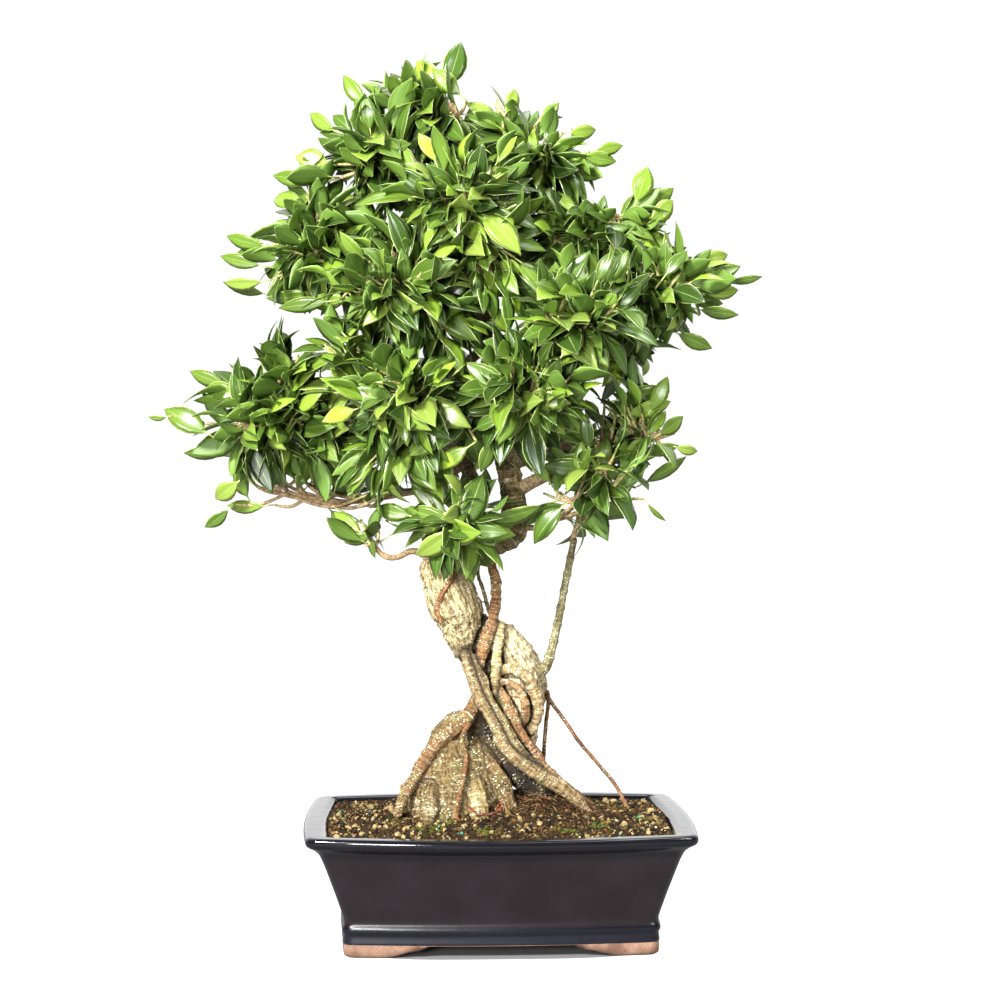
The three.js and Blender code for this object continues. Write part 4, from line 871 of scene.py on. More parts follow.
BRANCHES = {
    "apex": {"limb": [(-24, 5, 766, 4.5), (-32, 2, 790, 4), (-42, -2, 814, 3),
        (-48, -4, 832, 2.2)], "pads": [((-84, -5, 828), (60, 64, 52), 17)]},
    "top_left": {"limb": [(-20, 6, 724, 5), (-56, -10, 752, 4), (-96, -20, 776, 3.2),
        (-126, -26, 790, 2.4)], "pads": [((-124, -24, 784), (68, 72, 62), 25)]},
    "top_right": {"limb": [(-21, 6, 738, 5), (0, 3, 756, 4), (28, -2, 774, 3.2),
        (50, -6, 786, 2.4)], "pads": [((34, -5, 778), (78, 76, 56), 22),
        ((0, 20, 830), (44, 50, 30), 4)]},
    "top_front": {"limb": [(-18, 4, 702, 5), (-24, -32, 716, 4), (-30, -66, 730, 3),
        (-36, -92, 742, 2.4)], "pads": [((-36, -98, 740), (90, 66, 66), 26),
        ((-8, -92, 668), (66, 50, 66), 17)]},
    "top_back": {"limb": [(-17, 8, 690, 5), (-24, 44, 716, 4), (-34, 84, 738, 3),
        (-40, 112, 752, 2.4)], "pads": [((-38, 112, 750), (98, 70, 64), 24)]},
    "left_upper": {"limb": [(-14, 5, 652, 6), (-60, 0, 668, 5), (-110, -12, 682, 4),
        (-160, -20, 690, 3), (-200, -22, 692, 2.2)], "pads": [((-184, -20, 688), (90, 76, 48), 23),
        ((-184, -20, 738), (50, 52, 38), 8)]},
    "left_upper_front": {"limb": [(-12, 4, 622, 6), (-44, -32, 636, 4.6), (-80, -74, 648, 3.6),
        (-112, -104, 656, 2.4)], "pads": [((-112, -106, 652), (90, 66, 58), 26),
        ((-60, -70, 720), (70, 50, 44), 9), ((-46, -70, 606), (62, 56, 48), 10)]},
    "left_upper_back": {"limb": [(-12, 6, 612, 6), (-52, 42, 632, 4.6), (-96, 84, 650, 3.6),
        (-132, 112, 664, 2.4)], "pads": [((-132, 114, 662), (92, 72, 60), 22)]},
    "right_upper": {"limb": [(-13, 5, 640, 6), (20, -1, 666, 5), (62, -8, 692, 4),
        (98, -12, 710, 3), (118, -12, 718, 2.2)], "pads": [((104, -12, 706), (84, 76, 50), 23),
        ((52, -40, 698), (60, 66, 48), 10)]},
    "right": {"limb": [(-3, 1, 540, 6), (24, -5, 552, 5.4), (53, -10, 566, 5), (87, -16, 599, 4.5),
        (114, -22, 632, 4), (150, -24, 646, 3), (192, -24, 650, 2.2)], "pads": [
        ((150, -22, 654), (86, 78, 52), 24)]},
    "right_front": {"limb": [(0, 0, 522, 6), (28, -34, 556, 4.8), (54, -70, 592, 3.8),
        (80, -104, 622, 2.4)], "pads": [((78, -108, 630), (90, 64, 64), 24),
        ((40, -90, 560), (60, 50, 50), 9)]},
    "right_back": {"limb": [(-7, 4, 574, 6), (28, 38, 604, 4.8), (68, 78, 632, 3.8),
        (104, 110, 650, 2.4)], "pads": [((106, 112, 650), (100, 74, 64), 22),
        ((124, 30, 578), (62, 60, 44), 9)]},
    "left_low": {"limb": [(-44, 33, 486, 6), (-76, 22, 500, 5), (-120, 6, 510, 4.2),
        (-170, -10, 514, 3.6), (-220, -22, 512, 3), (-270, -28, 506, 2.2)], "pads": [
        ((-224, -26, 522), (90, 80, 52), 25), ((-205, -40, 574), (60, 56, 42), 12),
        ((-160, -14, 498), (54, 58, 44), 9)]},
    "left_low_under": {"limb": [(-36, 31, 470, 5), (-70, 34, 448, 4), (-112, 36, 438, 3.4),
        (-156, 36, 432, 3), (-200, 36, 436, 2.6), (-240, 34, 446, 2)], "pads": [
        ((-214, 34, 474), (78, 78, 46), 11), ((-130, 10, 440), (54, 56, 36), 4)]},
    "left_front": {"limb": [(-8, 3, 592, 6), (-36, -34, 570, 4.8), (-66, -74, 552, 3.8),
        (-98, -106, 540, 2.4)], "pads": [((-100, -108, 540), (96, 66, 66), 28),
        ((-150, -60, 588), (72, 56, 42), 13), ((-118, -86, 474), (62, 48, 36), 11)]},
    "middle_front": {"limb": [(3, -2, 500, 6), (10, -36, 518, 4.8), (20, -72, 536, 3.8),
        (30, -106, 550, 2.4)], "pads": [((28, -112, 550), (86, 64, 66), 25)]},
    "low_back": {"limb": [(-4, 3, 556, 6), (-24, 44, 540, 4.8), (-48, 88, 528, 3.8),
        (-70, 122, 524, 2.4)], "pads": [((-72, 126, 528), (120, 72, 64), 24)]},
    "right_low": {"limb": [(12, -8, 440, 8), (28, -8, 450, 7), (60, -9, 464, 5.6),
        (95, -11, 474, 5), (133, -14, 489, 4), (158, -17, 497, 3.2), (174, -18, 502, 2.4)],
        "pads": [((132, -20, 522), (64, 64, 52), 12)]},
    "right_low_front": {"limb": [(15, -10, 410, 4), (34, -16, 406, 3), (55, -22, 414, 2.8),
        (78, -34, 432, 2.6), (100, -50, 456, 2.2), (112, -60, 474, 2)], "pads": [
        ((100, -66, 466), (76, 62, 52), 8), ((50, -40, 442), (50, 48, 38), 3)]},
    "right_low_back": {"limb": [(8, -5, 468, 6), (34, 30, 476, 5), (64, 64, 488, 4),
        (96, 96, 500, 2.4)], "pads": [((84, 98, 506), (82, 70, 52), 9)]},
    "front_low": {"limb": [(-28, 26, 424, 4), (-42, 4, 426, 3.6), (-46, -24, 420, 3),
        (-46, -52, 416, 2.6), (-44, -78, 418, 2.2)], "pads": [((-42, -82, 428), (76, 52, 50), 6)]},
    "left_sprig": {"limb": [(-70, -6, 376, 4.4), (-88, -14, 383, 3.2), (-102, -20, 377, 3),
        (-115, -26, 377, 2.6), (-127, -30, 389, 2.4), (-138, -34, 402, 2)], "pads": [
        ((-142, -34, 414), (42, 38, 32), 2)]},
    "sucker_tip": {"limb": [(72, 4, 392, 3), (76, 4, 406, 2.6), (80, 5, 420, 2.2)], "pads": [
        ((84, 6, 428), (46, 42, 36), 3)]},
}

# Leaves that mark the crown's edge and its lower front: seen x, z of the blade's foot and of its
# tip, depth y, width in mm, the angle it is turned from facing the front, and how young it is.
MARKED = {
    "apex": [(-53, 845, -35, 895, -6, 25, 15, 0.02), (-62, 844, -88, 878, -20, 22, 20, 0.8),
        (-40, 838, -70, 864, -30, 20, 30, 0.5)],
    "top_left": [(-134, 827, -161, 859, -24, 17, 30, 0.4),
        (-165, 802, -197, 819, -24, 16, 40, 0.3), (-172, 770, -205, 778, -40, 24, 10, 0.8),
        (-186, 752, -232, 757, -30, 17, 30, 0.2)],
    "top_right": [(40, 812, 62, 830, -5, 14, 30, 0.5), (70, 800, 100, 800, -20, 16, 40, 0.4),
        (96, 782, 124, 786, -20, 14, 40, 0.5), (84, 777, 119, 770, -20, 16, 30, 0.3),
        (6, 820, 22, 847, -10, 16, 30, 0.3)],
    "right_upper": [(136, 732, 150, 770, -12, 23, 10, 0.5), (150, 712, 180, 734, -20, 20, 30, 0.5),
        (150, 728, 176, 744, 0, 16, 40, 0.4)],
    "left_upper": [(-186, 640, -237, 630, -30, 16, 40, 0.2),
        (-150, 636, -200, 626, -40, 18, 30, 0.3), (-172, 632, -224, 625, -44, 16, 25, 0.2),
        (-168, 655, -222, 650, -10, 16, 35, 0.2), (-238, 652, -283, 644, -20, 14, 40, 0.2),
        (-240, 668, -283, 677, -20, 15, 30, 0.3), (-236, 688, -280, 694, -24, 16, 40, 0.2),
        (-236, 640, -279, 649, 0, 14, 50, 0.2)],
    "right": [(228, 651, 266, 656, -10, 9, 30, 0.1), (206, 640, 245, 642, -24, 15, 30, 0.2),
        (200, 624, 240, 616, -24, 14, 40, 0.2), (178, 600, 215, 582, -24, 16, 30, 0.2),
        (196, 672, 236, 678, -22, 16, 30, 0.3), (204, 656, 243, 668, -10, 17, 20, 0.3),
        (186, 637, 228, 627, -20, 15, 30, 0.2)],
    "left_low": [(-293, 501, -339, 530, -28, 25, 5, 0.25), (-333, 517, -355, 512, -20, 7, 50, 0.1),
        (-275, 549, -313, 562, -28, 16, 30, 0.3), (-262, 540, -300, 546, -44, 20, 20, 0.3)],
    "left_low_under": [(-222, 466, -272, 469, 20, 16, 30, 0.2),
        (-236, 428, -281, 424, 30, 15, 30, 0.2), (-274, 482, -319, 479, 20, 15, 30, 0.1),
        (-272, 424, -297, 402, 30, 14, 30, 0.1), (-262, 452, -290, 430, 10, 20, 20, 0.2)],
    "left_front": [(-32, 487, -67, 464, -110, 17, 10, 1.0),
        (-118, 545, -132, 566, -120, 15, 10, 1.0), (-60, 500, -92, 478, -120, 20, 10, 0.3)],
    "middle_front": [(62, 578, 84, 606, -130, 19, 5, 0.9), (-6, 536, -14, 574, -120, 22, 20, 0.2),
        (-8, 494, -17, 460, -100, 17, 25, 0.2)],
    "right_low": [(118, 534, 174, 546, -24, 18, 20, 0.2), (128, 520, 180, 530, -30, 18, 30, 0.3),
        (146, 452, 190, 476, -20, 14, 30, 0.2), (140, 482, 184, 486, -30, 14, 30, 0.2),
        (176, 487, 202, 479, -20, 11, 30, 0.2), (160, 500, 186, 517, -24, 16, 30, 0.3),
        (150, 523, 174, 560, -26, 17, 20, 0.3)],
    "right_low_front": [(148, 430, 165, 409, -50, 6, 40, 0.2)],
    "front_low": [(-90, 418, -128, 426, -80, 18, 20, 0.2), (-56, 420, -88, 402, -88, 24, 10, 0.1),
        (-37, 406, -16, 462, -92, 30, 5, 0.1), (-13, 414, 48, 421, -84, 17, 40, 0.2),
        (-46, 404, -88, 368, -96, 22, 25, 0.2), (-50, 412, -96, 424, -90, 20, 30, 0.3),
        (-38, 400, -10, 380, -98, 17, 40, 0.3), (-54, 420, -88, 446, -84, 18, 20, 0.2)],
    "left_sprig": [(-128, 400, -158, 388, -36, 13, 30, 0.2),
        (-140, 402, -172, 424, -36, 15, 20, 0.3), (-130, 398, -128, 374, -36, 9, 40, 0.2)],
    "sucker_tip": [(84, 416, 112, 405, 4, 13, 30, 0.3), (80, 420, 92, 448, 4, 14, 20, 0.4)],
}


# The crown's edge as seen from the front: height, left and right, in mm on the middle plane.
CROWN_EDGE = np.array([
    (894, -44, -28), (874, -90, -33), (859, -150, -38), (844, -152, 0), (829, -152, 50),
    (814, -182, 62), (799, -182, 86), (784, -188, 96), (769, -208, 120), (754, -228, 150),
    (739, -224, 172), (724, -224, 180), (709, -222, 184), (694, -268, 200), (679, -280, 228),
    (664, -246, 240), (649, -262, 240), (634, -240, 230), (619, -230, 232), (604, -246, 206),
    (589, -274, 200), (574, -292, 172), (559, -312, 150), (544, -312, 172), (529, -332, 182),
    (514, -344, 180), (499, -312, 178), (484, -316, 184), (469, -278, 186), (454, -290, 168),
    (439, -288, 146), (424, -282, 130), (409, -250, 150), (394, -160, 110), (379, -140, 84),
    (364, -84, 62), (350, -60, 0)], float)
# Openings where the sky is seen through it: x, z, half width and half height there.
OPENINGS = np.array([
    (-195, 611, 24, 16), (-244, 649, 15, 6), (-155, 636, 8, 7), (116, 747, 18, 12),
    (121, 718, 7, 12), (-28, 846, 18, 8), (-123, 862, 30, 8), (102, 784, 12, 8),
    (40, 829, 8, 6), (76, 559, 7, 7), (109, 539, 6, 10), (108, 492, 7, 14), (161, 499, 12, 8),
    (174, 469, 14, 9), (155, 454, 13, 8), (-193, 499, 5, 6), (-214, 454, 14, 10),
    (-230, 439, 18, 9), (-192, 439, 13, 10), (-154, 424, 28, 10), (-193, 422, 9, 9),
    (-224, 413, 52, 12), (-110, 400, 12, 24), (62, 439, 13, 10), (74, 424, 7, 8), (30, 409, 9, 7),
    (60, 409, 9, 8), (40, 394, 20, 8), (35, 376, 34, 10), (140, 409, 18, 9),
    (10, 462, 9, 34), (15, 401, 9, 14)], float)


def seen_from_front(points):
    """Points in mm off the stand as x, z seen on the middle plane: `place` turned back."""
    c, s = np.cos(EYE_TURN), np.sin(EYE_TURN)
    spread = 1 + (s * points[..., 0] + c * points[..., 1]) / EYE_DISTANCE
    return np.stack([(c * points[..., 0] - s * points[..., 1]) / spread,
                     EYE_HEIGHT + (points[..., 2] - EYE_HEIGHT) / spread], axis=-1)


EDGE_SLACK, OPENING_SLACK = 2, 4  # mm
WIDEST = 5  # the number of a blade's widest row


def in_crown(blades):
    """Which blades, given as their points ring by ring, lie inside the edge and in no opening."""
    rows = len(LEAF_ROWS)
    ribs = seen_from_front(blades.reshape(len(blades), rows, -1, 3).mean(2))
    x, z = ribs[:, [WIDEST, rows - 1]].transpose(2, 0, 1)
    up = CROWN_EDGE[::-1]
    left, right = (np.interp(z, up[:, 0], up[:, side]) for side in (1, 2))
    inside = ((x > left - EDGE_SLACK) & (x < right + EDGE_SLACK)
              & (z < CROWN_EDGE[0, 0])).all(1)
    middle = ribs[:, WIDEST]
    off = (middle[:, None] - OPENINGS[:, :2]) / (OPENINGS[:, 2:] + OPENING_SLACK)
    return inside & ((off**2).sum(-1) > 1).all(1)


def draw(i, k):
    """A fixed draw between 0 and 1 for item i, draw k."""
    wave = np.sin(i * 12.9898 + k * 78.233) * 43758.5453
    return wave - np.floor(wave)


GOLDEN_ANGLE = np.pi * (3 - np.sqrt(5))
UP = np.array([0.0, 0.0, 1.0])
LEAF_LENGTH, LEAF_WIDTH = 48.0, 21.5
LEAVES = 6  # to a twig
TWIG_SAG, TWIG_RADII = 12.0, (2.8, 2.0, 1.2)
LEAF_GAP = 15.5
STALK = 0.24  # of the leaf's length


def twig_lines(limb, at, reach, twigs, seed):
    """Twigs root, bend, tip of one pad: they leave the outer limb and end inside its surface.

    Twig k aims at rise 1 - 1.8 k / (count - 1) along the limb, turned golden angle * k round it.
    """
    limb, at, reach = (np.array(v, float) for v in (limb, at, reach))
    spine = limb[:, :3]
    ahead = unit(unit(spine[-1] - spine[-2]) + 0.35 * UP)
    aside = unit(np.array([ahead[1], -ahead[0], 0.01]))
    third = np.cross(ahead, aside)
    k = np.arange(twigs)
    rise = 1 - 1.8 * k / (twigs - 1)
    turn = GOLDEN_ANGLE * k + 2 * np.pi * draw(seed, 1)
    flat = np.sqrt(1 - rise**2)
    aim = rise[:, None] * ahead + (flat * np.cos(turn))[:, None] * aside \
        + (flat * np.sin(turn))[:, None] * third
    depth = 1.06 - 0.6 * draw(seed, 50 + k) ** 1.4
    tip = at + (reach - LEAF_LENGTH * np.array([0.78, 0.78, 0.7])) * aim * depth[:, None]
    spot = (0.3 + 0.68 * np.sqrt(draw(seed, 20 + k))) * (len(limb) - 1)
    root = np.column_stack([np.interp(spot, np.arange(len(limb)), c) for c in spine.T])
    thick = np.interp(spot, np.arange(len(limb)), limb[:, 3])
    bend = root + 0.55 * (tip - root) - TWIG_SAG * UP
    return np.stack([root, bend, tip], axis=1), thick


def marked_leaves(limb, rows):
    """Twigs to the marked leaves from the nearest part of the outer limb, and the leaves."""
    x0, z0, x1, z1, y, width, turned, young = np.array(rows, float).T
    foot, tip = place(np.stack([x0, y, z0], -1)), place(np.stack([x1, y, z1], -1))
    length = np.linalg.norm(tip - foot, axis=1)
    along = (tip - foot) / length[:, None]
    front = unit(np.array([0.0, -1.0, 0.35]) - along * (along @ (0.0, -1.0, 0.35))[:, None])
    turned = np.radians(turned)[:, None]
    look = front * np.cos(turned) + np.cross(along, front) * np.sin(turned) \
        * np.where(x1 > x0, 1, -1)[:, None]
    leaves = np.column_stack([foot - along * STALK * length[:, None], along, look, length,
                              width, young, (0.5 + 0.37 * np.arange(len(y))) % 1])
    start = np.stack([x0 - STALK * (x1 - x0), y, z0 - STALK * (z1 - z0)], -1)
    spine = catmull(np.array(limb, float), 8)
    spine = spine[len(spine) // 3:]
    near = np.linalg.norm(start[:, None] - spine[None, :, :3], axis=-1).argmin(1)
    near = np.maximum(near - 5, 0)
    root = spine[near, :3]
    bend = root + 0.5 * (start - root) - 0.4 * TWIG_SAG * UP
    return np.stack([root, bend, start], axis=1), spine[near, 3], leaves


def leaf_spots(twigs, seed):
    """Leaf bases, directions, faces and sizes: in a spiral from each twig's tip back.

    Leaf j stands about LEAF_GAP j from the tip, turned golden angle * j round the twig. It splays
    from it by 0.2 at the tip and 0.5 to 1.4 radians below, and its face looks up and outwards.
    """
    found = []
    for k, (root, bend, tip) in enumerate(twigs):
        line, run = line_through(place(np.array([root, bend, tip])), 2.0)
        j = np.arange(LEAVES)
        back = run[-1] - LEAF_GAP * j * (0.75 + 0.5 * draw(seed + k, 5))
        back = np.clip(back, run[-1] * 0.2, None)
        base = np.column_stack([np.interp(back, run, c) for c in line.T])
        ahead = unit(np.gradient(line, axis=0))
        axis = unit(np.column_stack([np.interp(back, run, c) for c in ahead.T]))
        flat = unit(np.cross(axis, UP))
        turn = GOLDEN_ANGLE * j + 2 * np.pi * draw(seed + k, 3)
        out = flat * np.cos(turn)[:, None] + unit(np.cross(flat, axis)) * np.sin(turn)[:, None]
        splay = np.where(j == 0, 0.2, 0.5 + 0.9 * draw(seed + 3 * k, 40 + j))
        along = unit(axis * np.cos(splay)[:, None] + out * np.sin(splay)[:, None])
        outer = base * (1.0, 1.0, 0.0) + (12.0, 0.0, 0.0)
        look = 0.4 * axis + 0.7 * UP + 0.45 * unit(outer) + 1.7 * (np.column_stack(
            [draw(seed + k, 70 + 3 * j + n) for n in range(3)]) - 0.5)
        look = unit(look - along * (look * along).sum(1)[:, None])
        size = np.where(j == 0, 0.7, 0.62 + 0.6 * draw(seed + 5 * k, 60 + j))
        young = np.clip(1.0 - 0.4 * j, 0.06, 1) * np.clip(2.4 * draw(seed + k, 90) - 1.2, 0.05, 1)
        tone = draw(seed + k, 110 + j)
        width = LEAF_WIDTH * size * (0.86 + 0.28 * (tone * 7 % 1))
        found.append(np.column_stack([base, along, look, LEAF_LENGTH * size, width, young, tone]))
    return np.vstack(found)


# A leaf's outline: share of the length, half the width, and half the thickness in mm there. The
# first three are its stalk.
LEAF_ROWS = np.array([(-STALK, 0.0, 0.85), (-0.03, 0.0, 0.75), (0.03, 0.13, 0.45),
                      (0.14, 0.5, 0.35), (0.3, 0.87, 0.32), (0.48, 1.0, 0.28),
                      (0.66, 0.86, 0.25), (0.81, 0.55, 0.22), (0.92, 0.24, 0.18),
                      (1.0, 0.03, 0.12)])
LEAF_RING = np.array([(-1, 0), (-0.5, 1), (0, 1), (0.5, 1), (1, 0), (0.5, -1), (0, -1), (-0.5, -1)])


def leaf_blades(spots):
    """Closed leaves: each ring lies across the rib, which droops along an arc.

    centre = base + along L sin(k t) / k - face L (1 - cos(k t)) / k, side = W half(t) v / 2, and
    the blade folds up by 0.04 to 0.34 |side| and waves by 0.05 |side| sin(9 t + 6 tone).
    """
    base, along, face = spots[:, :3], spots[:, 3:6], spots[:, 6:9]
    length, wide, young, tone = spots[:, 9:].T
    length = length[:, None]
    side = np.cross(along, face)
    t, half, thick = LEAF_ROWS.T
    bend = 0.25 + 0.75 * tone[:, None]
    t_blade = np.maximum(t, t * 0.9)
    forth = length * np.sin(bend * t_blade) / bend
    down = length * (1 - np.cos(bend * t_blade)) / bend
    start = base + along * (STALK * length)  # the stalk's foot is on the twig
    centre = start[:, None] + along[:, None] * forth[..., None] - face[:, None] * down[..., None]
    v, lift = LEAF_RING.T
    across = np.maximum(half[None] * wide[:, None] / 2, thick)[..., None] * v
    fold = (0.04 + 0.3 * ((tone * 13) % 1))[:, None, None]
    wave = np.sin(9 * t + 6 * tone[:, None])[..., None]
    high = fold * np.abs(across) + 0.05 * np.abs(across) * wave
    high = high * (half > 0)[:, None] + thick[:, None] * lift * (1 - 0.5 * np.abs(v))
    points = centre[:, :, None] + side[:, None, None] * across[..., None] \
        + face[:, None, None] * high[..., None]
    count, rows, around = points.shape[:3]
    ends = np.array([np.arange(around)[::-1], (rows - 1) * around + np.arange(around)])
    quads, caps = (copied(f, count, rows * around) for f in (ring_faces(rows, around), ends))
    flat = points.reshape(-1, 3)
    uv_ring = np.stack(np.broadcast_arrays(t[:, None], 0.5 + 0.5 * v), axis=-1).reshape(-1, 2)
    uv = np.tile(uv_ring, (count, 1))
    under = np.concatenate([np.tile(np.tile(np.arange(around) >= around // 2, rows - 1), count),
                            np.zeros(2 * count)])
    each_point = rows * around
    return flat, [quads, caps], {
        "blade": np.vstack([uv[quads.ravel()], uv[caps.ravel()]]), "underside": under,
        "young": np.repeat(young, each_point), "tone": np.repeat(tone, each_point)}


def leaf_material():
    """Leathery fig leaf: a glossy waxed green face with a pale rib and a thin pale margin, and a
    duller yellow-green back. Young leaves at the twig tips are lighter and yellower."""
    leaf, tree, shader = new_material("fig_leaf", Roughness=0.3, IOR=1.52)
    young = add(tree, "Attribute", {"attribute_name": "young"}, out="Fac")
    tone = add(tree, "Attribute", {"attribute_name": "tone"}, out="Fac")
    under = add(tree, "Attribute", {"attribute_name": "underside"}, out="Fac")
    uv = add(tree, "SeparateXYZ", {"Vector": add(tree, "UVMap", {"uv_map": "blade"})}, out=None)
    old = add(tree, "ValToRGB", {"stops": [(0.0, "#20360f"), (0.4, "#314d17"), (0.75, "#4f6d23"),
              (1.0, "#7d913c")], "Fac": tone})
    fresh = add(tree, "Mix", {"data_type": "RGBA", 7: "#8fb134", 0: young, 6: old}, out=2)
    off_rib = add(tree, "Math", {"operation": "SUBTRACT", 1: 0.5, 0: uv.outputs["Y"]})
    v = add(tree, "Math", {"operation": "ABSOLUTE", 0: off_rib})
    # Side veins: some twelve pairs, running forwards from the rib; faint, 0.3 mm wide.
    slope = add(tree, "Math", {"operation": "MULTIPLY_ADD", 1: -0.42, 0: v, 2: uv.outputs["X"]})
    wave = add(tree, "Math", {"operation": "MULTIPLY", 1: 78.0, 0: slope})
    sine = add(tree, "Math", {"operation": "SINE", 0: wave})
    vein = add(tree, "MapRange", {"From Min": 0.85, "From Max": 1.0, "To Max": 0.08,
               "Value": sine})
    veined = add(tree, "Mix", {"data_type": "RGBA", 7: "#a9c46a", 0: vein, 6: fresh}, out=2)
    rib = add(tree, "MapRange", {"From Min": 0.03, "From Max": 0.01, "To Max": 0.3, "Value": v})
    edge = add(tree, "MapRange", {"From Min": 0.445, "From Max": 0.475, "To Max": 0.95,
               "Value": v})
    stalk = add(tree, "MapRange", {"From Min": 0.04, "From Max": 0.0, "Value": uv.outputs["X"]})
    pale = add(tree, "Math", {"operation": "MAXIMUM", 0: rib, 1: edge})
    paler = add(tree, "Math", {"operation": "MAXIMUM", 0: pale, 1: stalk})
    marked = add(tree, "Mix", {"data_type": "RGBA", 7: "#c3cf7e", 0: paler, 6: veined}, out=2)
    back = add(tree, "Mix", {"data_type": "RGBA", 7: "#6c8f38", 0: add(tree, "Math",
               {"operation": "MULTIPLY", 1: 0.6, 0: under}), 6: marked}, out=2)
    rough = add(tree, "MapRange", {"To Min": 0.3, "To Max": 0.5, "Value": under})
    fill(shader, {"Base Color": back, "Roughness": rough})
    through = add(tree, "BsdfTranslucent", {"Color": back})
    both = add(tree, "MixShader", {0: 0.14, 1: shader.outputs[0], 2: through})
    fill(tree.nodes["Material Output"], {"Surface": both})
    return leaf


def wood_material():
    """Bark of the limbs and skin of the twigs: tan and rough where thick, green where young."""
    wood, tree, shader = new_material("twig_bark", Roughness=0.65)
    thick = add(tree, "Attribute", {"attribute_name": "thick"}, out="Fac")
    grain = add(tree, "Attribute", {"attribute_name": "grain"}, out="Vector")
    by_age = add(tree, "ValToRGB", {"stops": [(0.0, "#b9cf5e"), (0.1, "#c6c878"),
                 (0.2, "#c3a67c"), (0.6, "#bc9f76"), (1.0, "#b39b74")], "Fac": add(tree,
                 "MapRange", {"From Min": 0.7, "From Max": 6.0, "Value": thick})})
    over = add(tree, "VectorMath", {"operation": "MULTIPLY", 1: (0.3, 0.3, 0.4), 0: grain})
    noise = add(tree, "TexNoise", {"Scale": 1.0, "Detail": 5.0, "Roughness": 0.7, "Vector": over})
    bump = add(tree, "Bump", {"Strength": 0.8, "Distance": 0.0006, "Height": noise})
    fill(shader, {"Base Color": shaded(tree, by_age, noise, "#8c8272", high=0.6), "Normal": bump})
    return wood


LIMB_SIDES, TWIG_SIDES = 9, 6
BOX_MARGIN = 0.5  # mm that every leaf stays inside the box of the solids
leaf, wood = leaf_material(), wood_material()
low, high = (np.array(corner) for corner in CAD_BOX)
low, high = (low - STAND) * 1000 + BOX_MARGIN, (high - STAND) * 1000 - BOX_MARGIN
for b, (name, branch) in enumerate(BRANCHES.items()):
    seed, limb = 10 * b + 7, branch["limb"]
    grown = [twig_lines(limb, *pad, seed=seed + 300 * n) for n, pad in enumerate(branch["pads"])]
    twigs, thick = (np.concatenate(group) for group in zip(*grown))
    spots = leaf_spots(twigs, seed)
    free = np.zeros(len(spots), bool)
    if name in MARKED:
        stems, base, chosen = marked_leaves(limb, MARKED[name])
        beside = leaf_spots(stems, seed + 50)[:, None].reshape(len(stems), LEAVES, -1)[:, 1:5]
        free = np.append(free, [True] * len(chosen) + [False] * (len(beside) * beside.shape[1]))
        spots = np.vstack([spots, chosen, beside.reshape(-1, spots.shape[1])])
        twigs, thick = np.concatenate([twigs, stems]), np.concatenate([thick, base])
    lines = [line_through(placed_knots(limb), 4.0)]
    for twig, base in zip(twigs, thick):
        knots = np.column_stack([place(twig), np.minimum(TWIG_RADII, base * 0.8)])
        lines.append(line_through(knots, 6.0))
    sides = [LIMB_SIDES] + [TWIG_SIDES] * len(twigs)
    swells = [root_swell(seed)] + [None] * len(twigs)
    tubes = [tube(s, r + 500 * i, around, swell)
             for i, ((s, r), around, swell) in enumerate(zip(lines, sides, swells))]
    radii = np.concatenate([np.append(np.repeat(s[:, 3], around), s[[0, -1], 3])
                            for (s, _), around in zip(lines, sides)])
    points, faces = joined(tubes)
    make_piece(f"limb_{name}", points, faces, [wood], "bark", [f"branch_{name}"],
               data={"grain": np.vstack([t[2] for t in tubes]), "thick": radii})
    reach = leaf_blades(spots)[0].reshape(len(spots), -1, 3)
    kept = ((reach > low) & (reach < high)).all((1, 2)) & (free | in_crown(reach))
    points, faces, data = leaf_blades(spots[kept])
    make_piece(f"leaves_{name}", points, faces, [leaf], "foliage", [f"branch_{name}"], data=data)

# ==== Floor and light =======================================================================
# A wide pale floor under soft studio light: a key lamp high on the left, a weaker one on the
# right, a low one in front that reaches under the crown, and a broad one overhead.

size = 200.0  # metres from the middle to each side
UNDER_POT = (0.152, 0.116)  # half sizes in metres of the floor that the pot shades
mesh = bpy.data.meshes.new("floor")
mesh.from_pydata([(-size, -size, 0), (size, -size, 0), (size, size, 0), (-size, size, 0)], [],
                 [(0, 1, 2, 3)])
floor = bpy.data.objects.new("floor", mesh)
bpy.context.collection.objects.link(floor)
paper, tree, shader = new_material("pale_floor", Base_Color="#707070", Roughness=0.95,
                                   Emission_Color=(1, 1, 1, 1))
level = add(tree, "MapRange", {"To Min": 0.1, "To Max": 0.98, "Value": add(tree, "LightPath")})
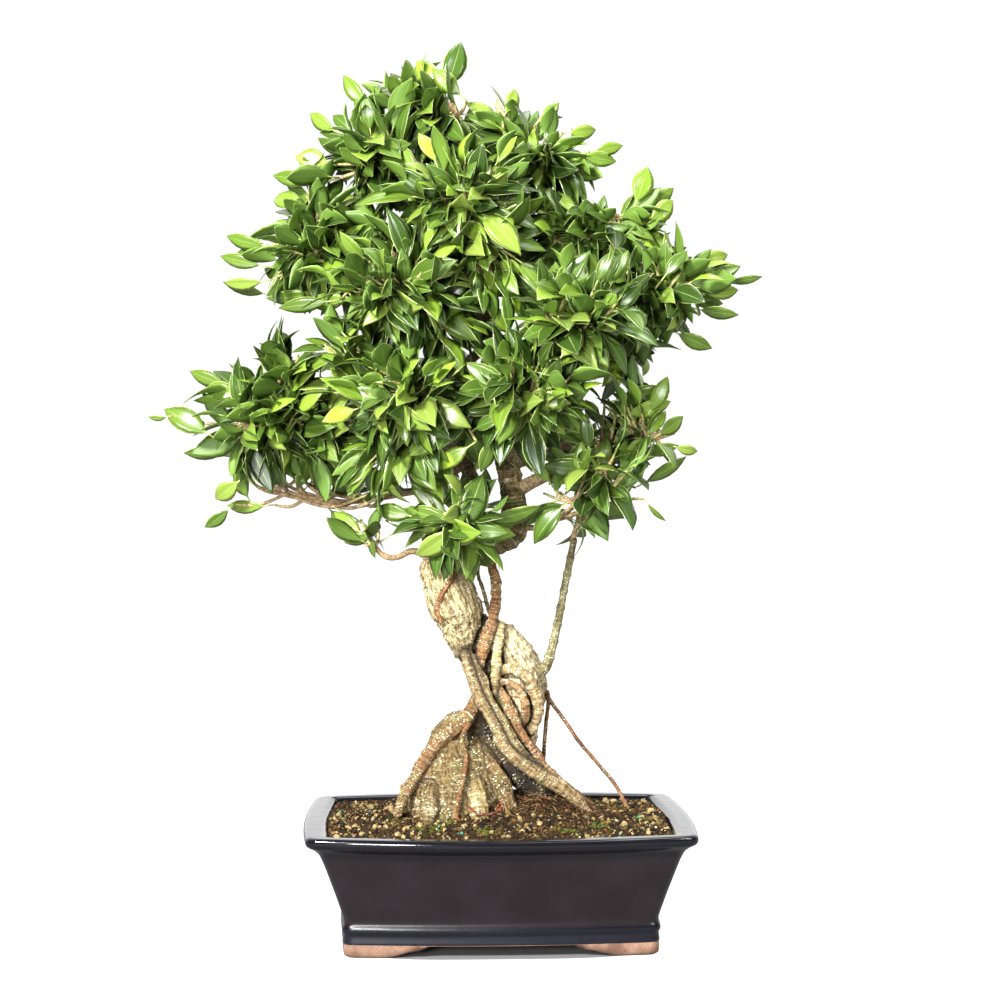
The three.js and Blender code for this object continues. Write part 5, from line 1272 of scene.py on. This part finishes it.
# Under the pot, where (x/a)^4 + (y/b)^4 < 0.93, the floor gives no light of its own, so that
# the shadow there stays dark.
off_pot = add(tree, "VectorMath", {"operation": "SUBTRACT", 1: tuple(STAND), 0: add(tree,
              "TexCoord", out="Object")})
in_halves = add(tree, "VectorMath", {"operation": "MULTIPLY", 0: off_pot,
                1: (1 / UNDER_POT[0], 1 / UNDER_POT[1], 0.0)})
squared = add(tree, "VectorMath", {"operation": "MULTIPLY", 0: in_halves, 1: in_halves})
far = add(tree, "VectorMath", {"operation": "DOT_PRODUCT", 0: squared, 1: squared}, out="Value")
open_share = add(tree, "MapRange", {"From Min": 0.93, "From Max": 1.03, "Value": far})
shown = add(tree, "Math", {"operation": "MULTIPLY", 0: level, 1: open_share})
fill(shader, {"Emission Strength": shown})
mesh.materials.append(paper)

world = bpy.data.worlds.new("studio")
bpy.context.scene.world = world
world.use_nodes = True
tree = world.node_tree
# The camera sees an even white. All else gets light from behind the tree and little from the
# front, where the lamps are.
seen = add(tree, "LightPath")
towards = add(tree, "SeparateXYZ", {"Vector": add(tree, "TexCoord", out="Generated")}, out="Y")
backdrop = add(tree, "MapRange", {"From Min": 0.2, "From Max": 0.97, "To Min": 0.08,
               "To Max": 1.7, "Value": towards})
level = add(tree, "MapRange", {"To Max": 1.05, "Value": seen, "To Min": backdrop})
fill(tree.nodes["Background"], {"Color": (1, 1, 1, 1), "Strength": level})
bpy.context.scene.view_settings.view_transform = "Standard"


def soft_lamp(name, watts, side, place, aim):
    """A square soft lamp at a place, turned to face its aim, both in metres off the stand."""
    lamp = bpy.data.objects.new(name, bpy.data.lights.new(name, "AREA"))
    lamp.data.energy, lamp.data.size = watts, side
    lamp.location = STAND + place
    away = np.array(place) - np.array(aim)
    lamp.rotation_euler = Euler((np.arctan2(np.hypot(*away[:2]), away[2]), 0.0,
                                 np.arctan2(away[0], -away[1])))
    bpy.context.collection.objects.link(lamp)


soft_lamp("key_lamp", 275.0, 0.4, (-1.6, -2.3, 1.9), (0, 0, 0.5))
soft_lamp("fill_lamp", 60.0, 0.8, (1.9, -1.6, 1.8), (0, 0, 0.5))
soft_lamp("front_lamp", 78.0, 0.5, (-0.9, -2.7, 0.75), (-0.1, 0, 0.55))
soft_lamp("top_lamp", 60.0, 1.4, (0.3, 0.3, 2.8), (0, 0, 0.4))
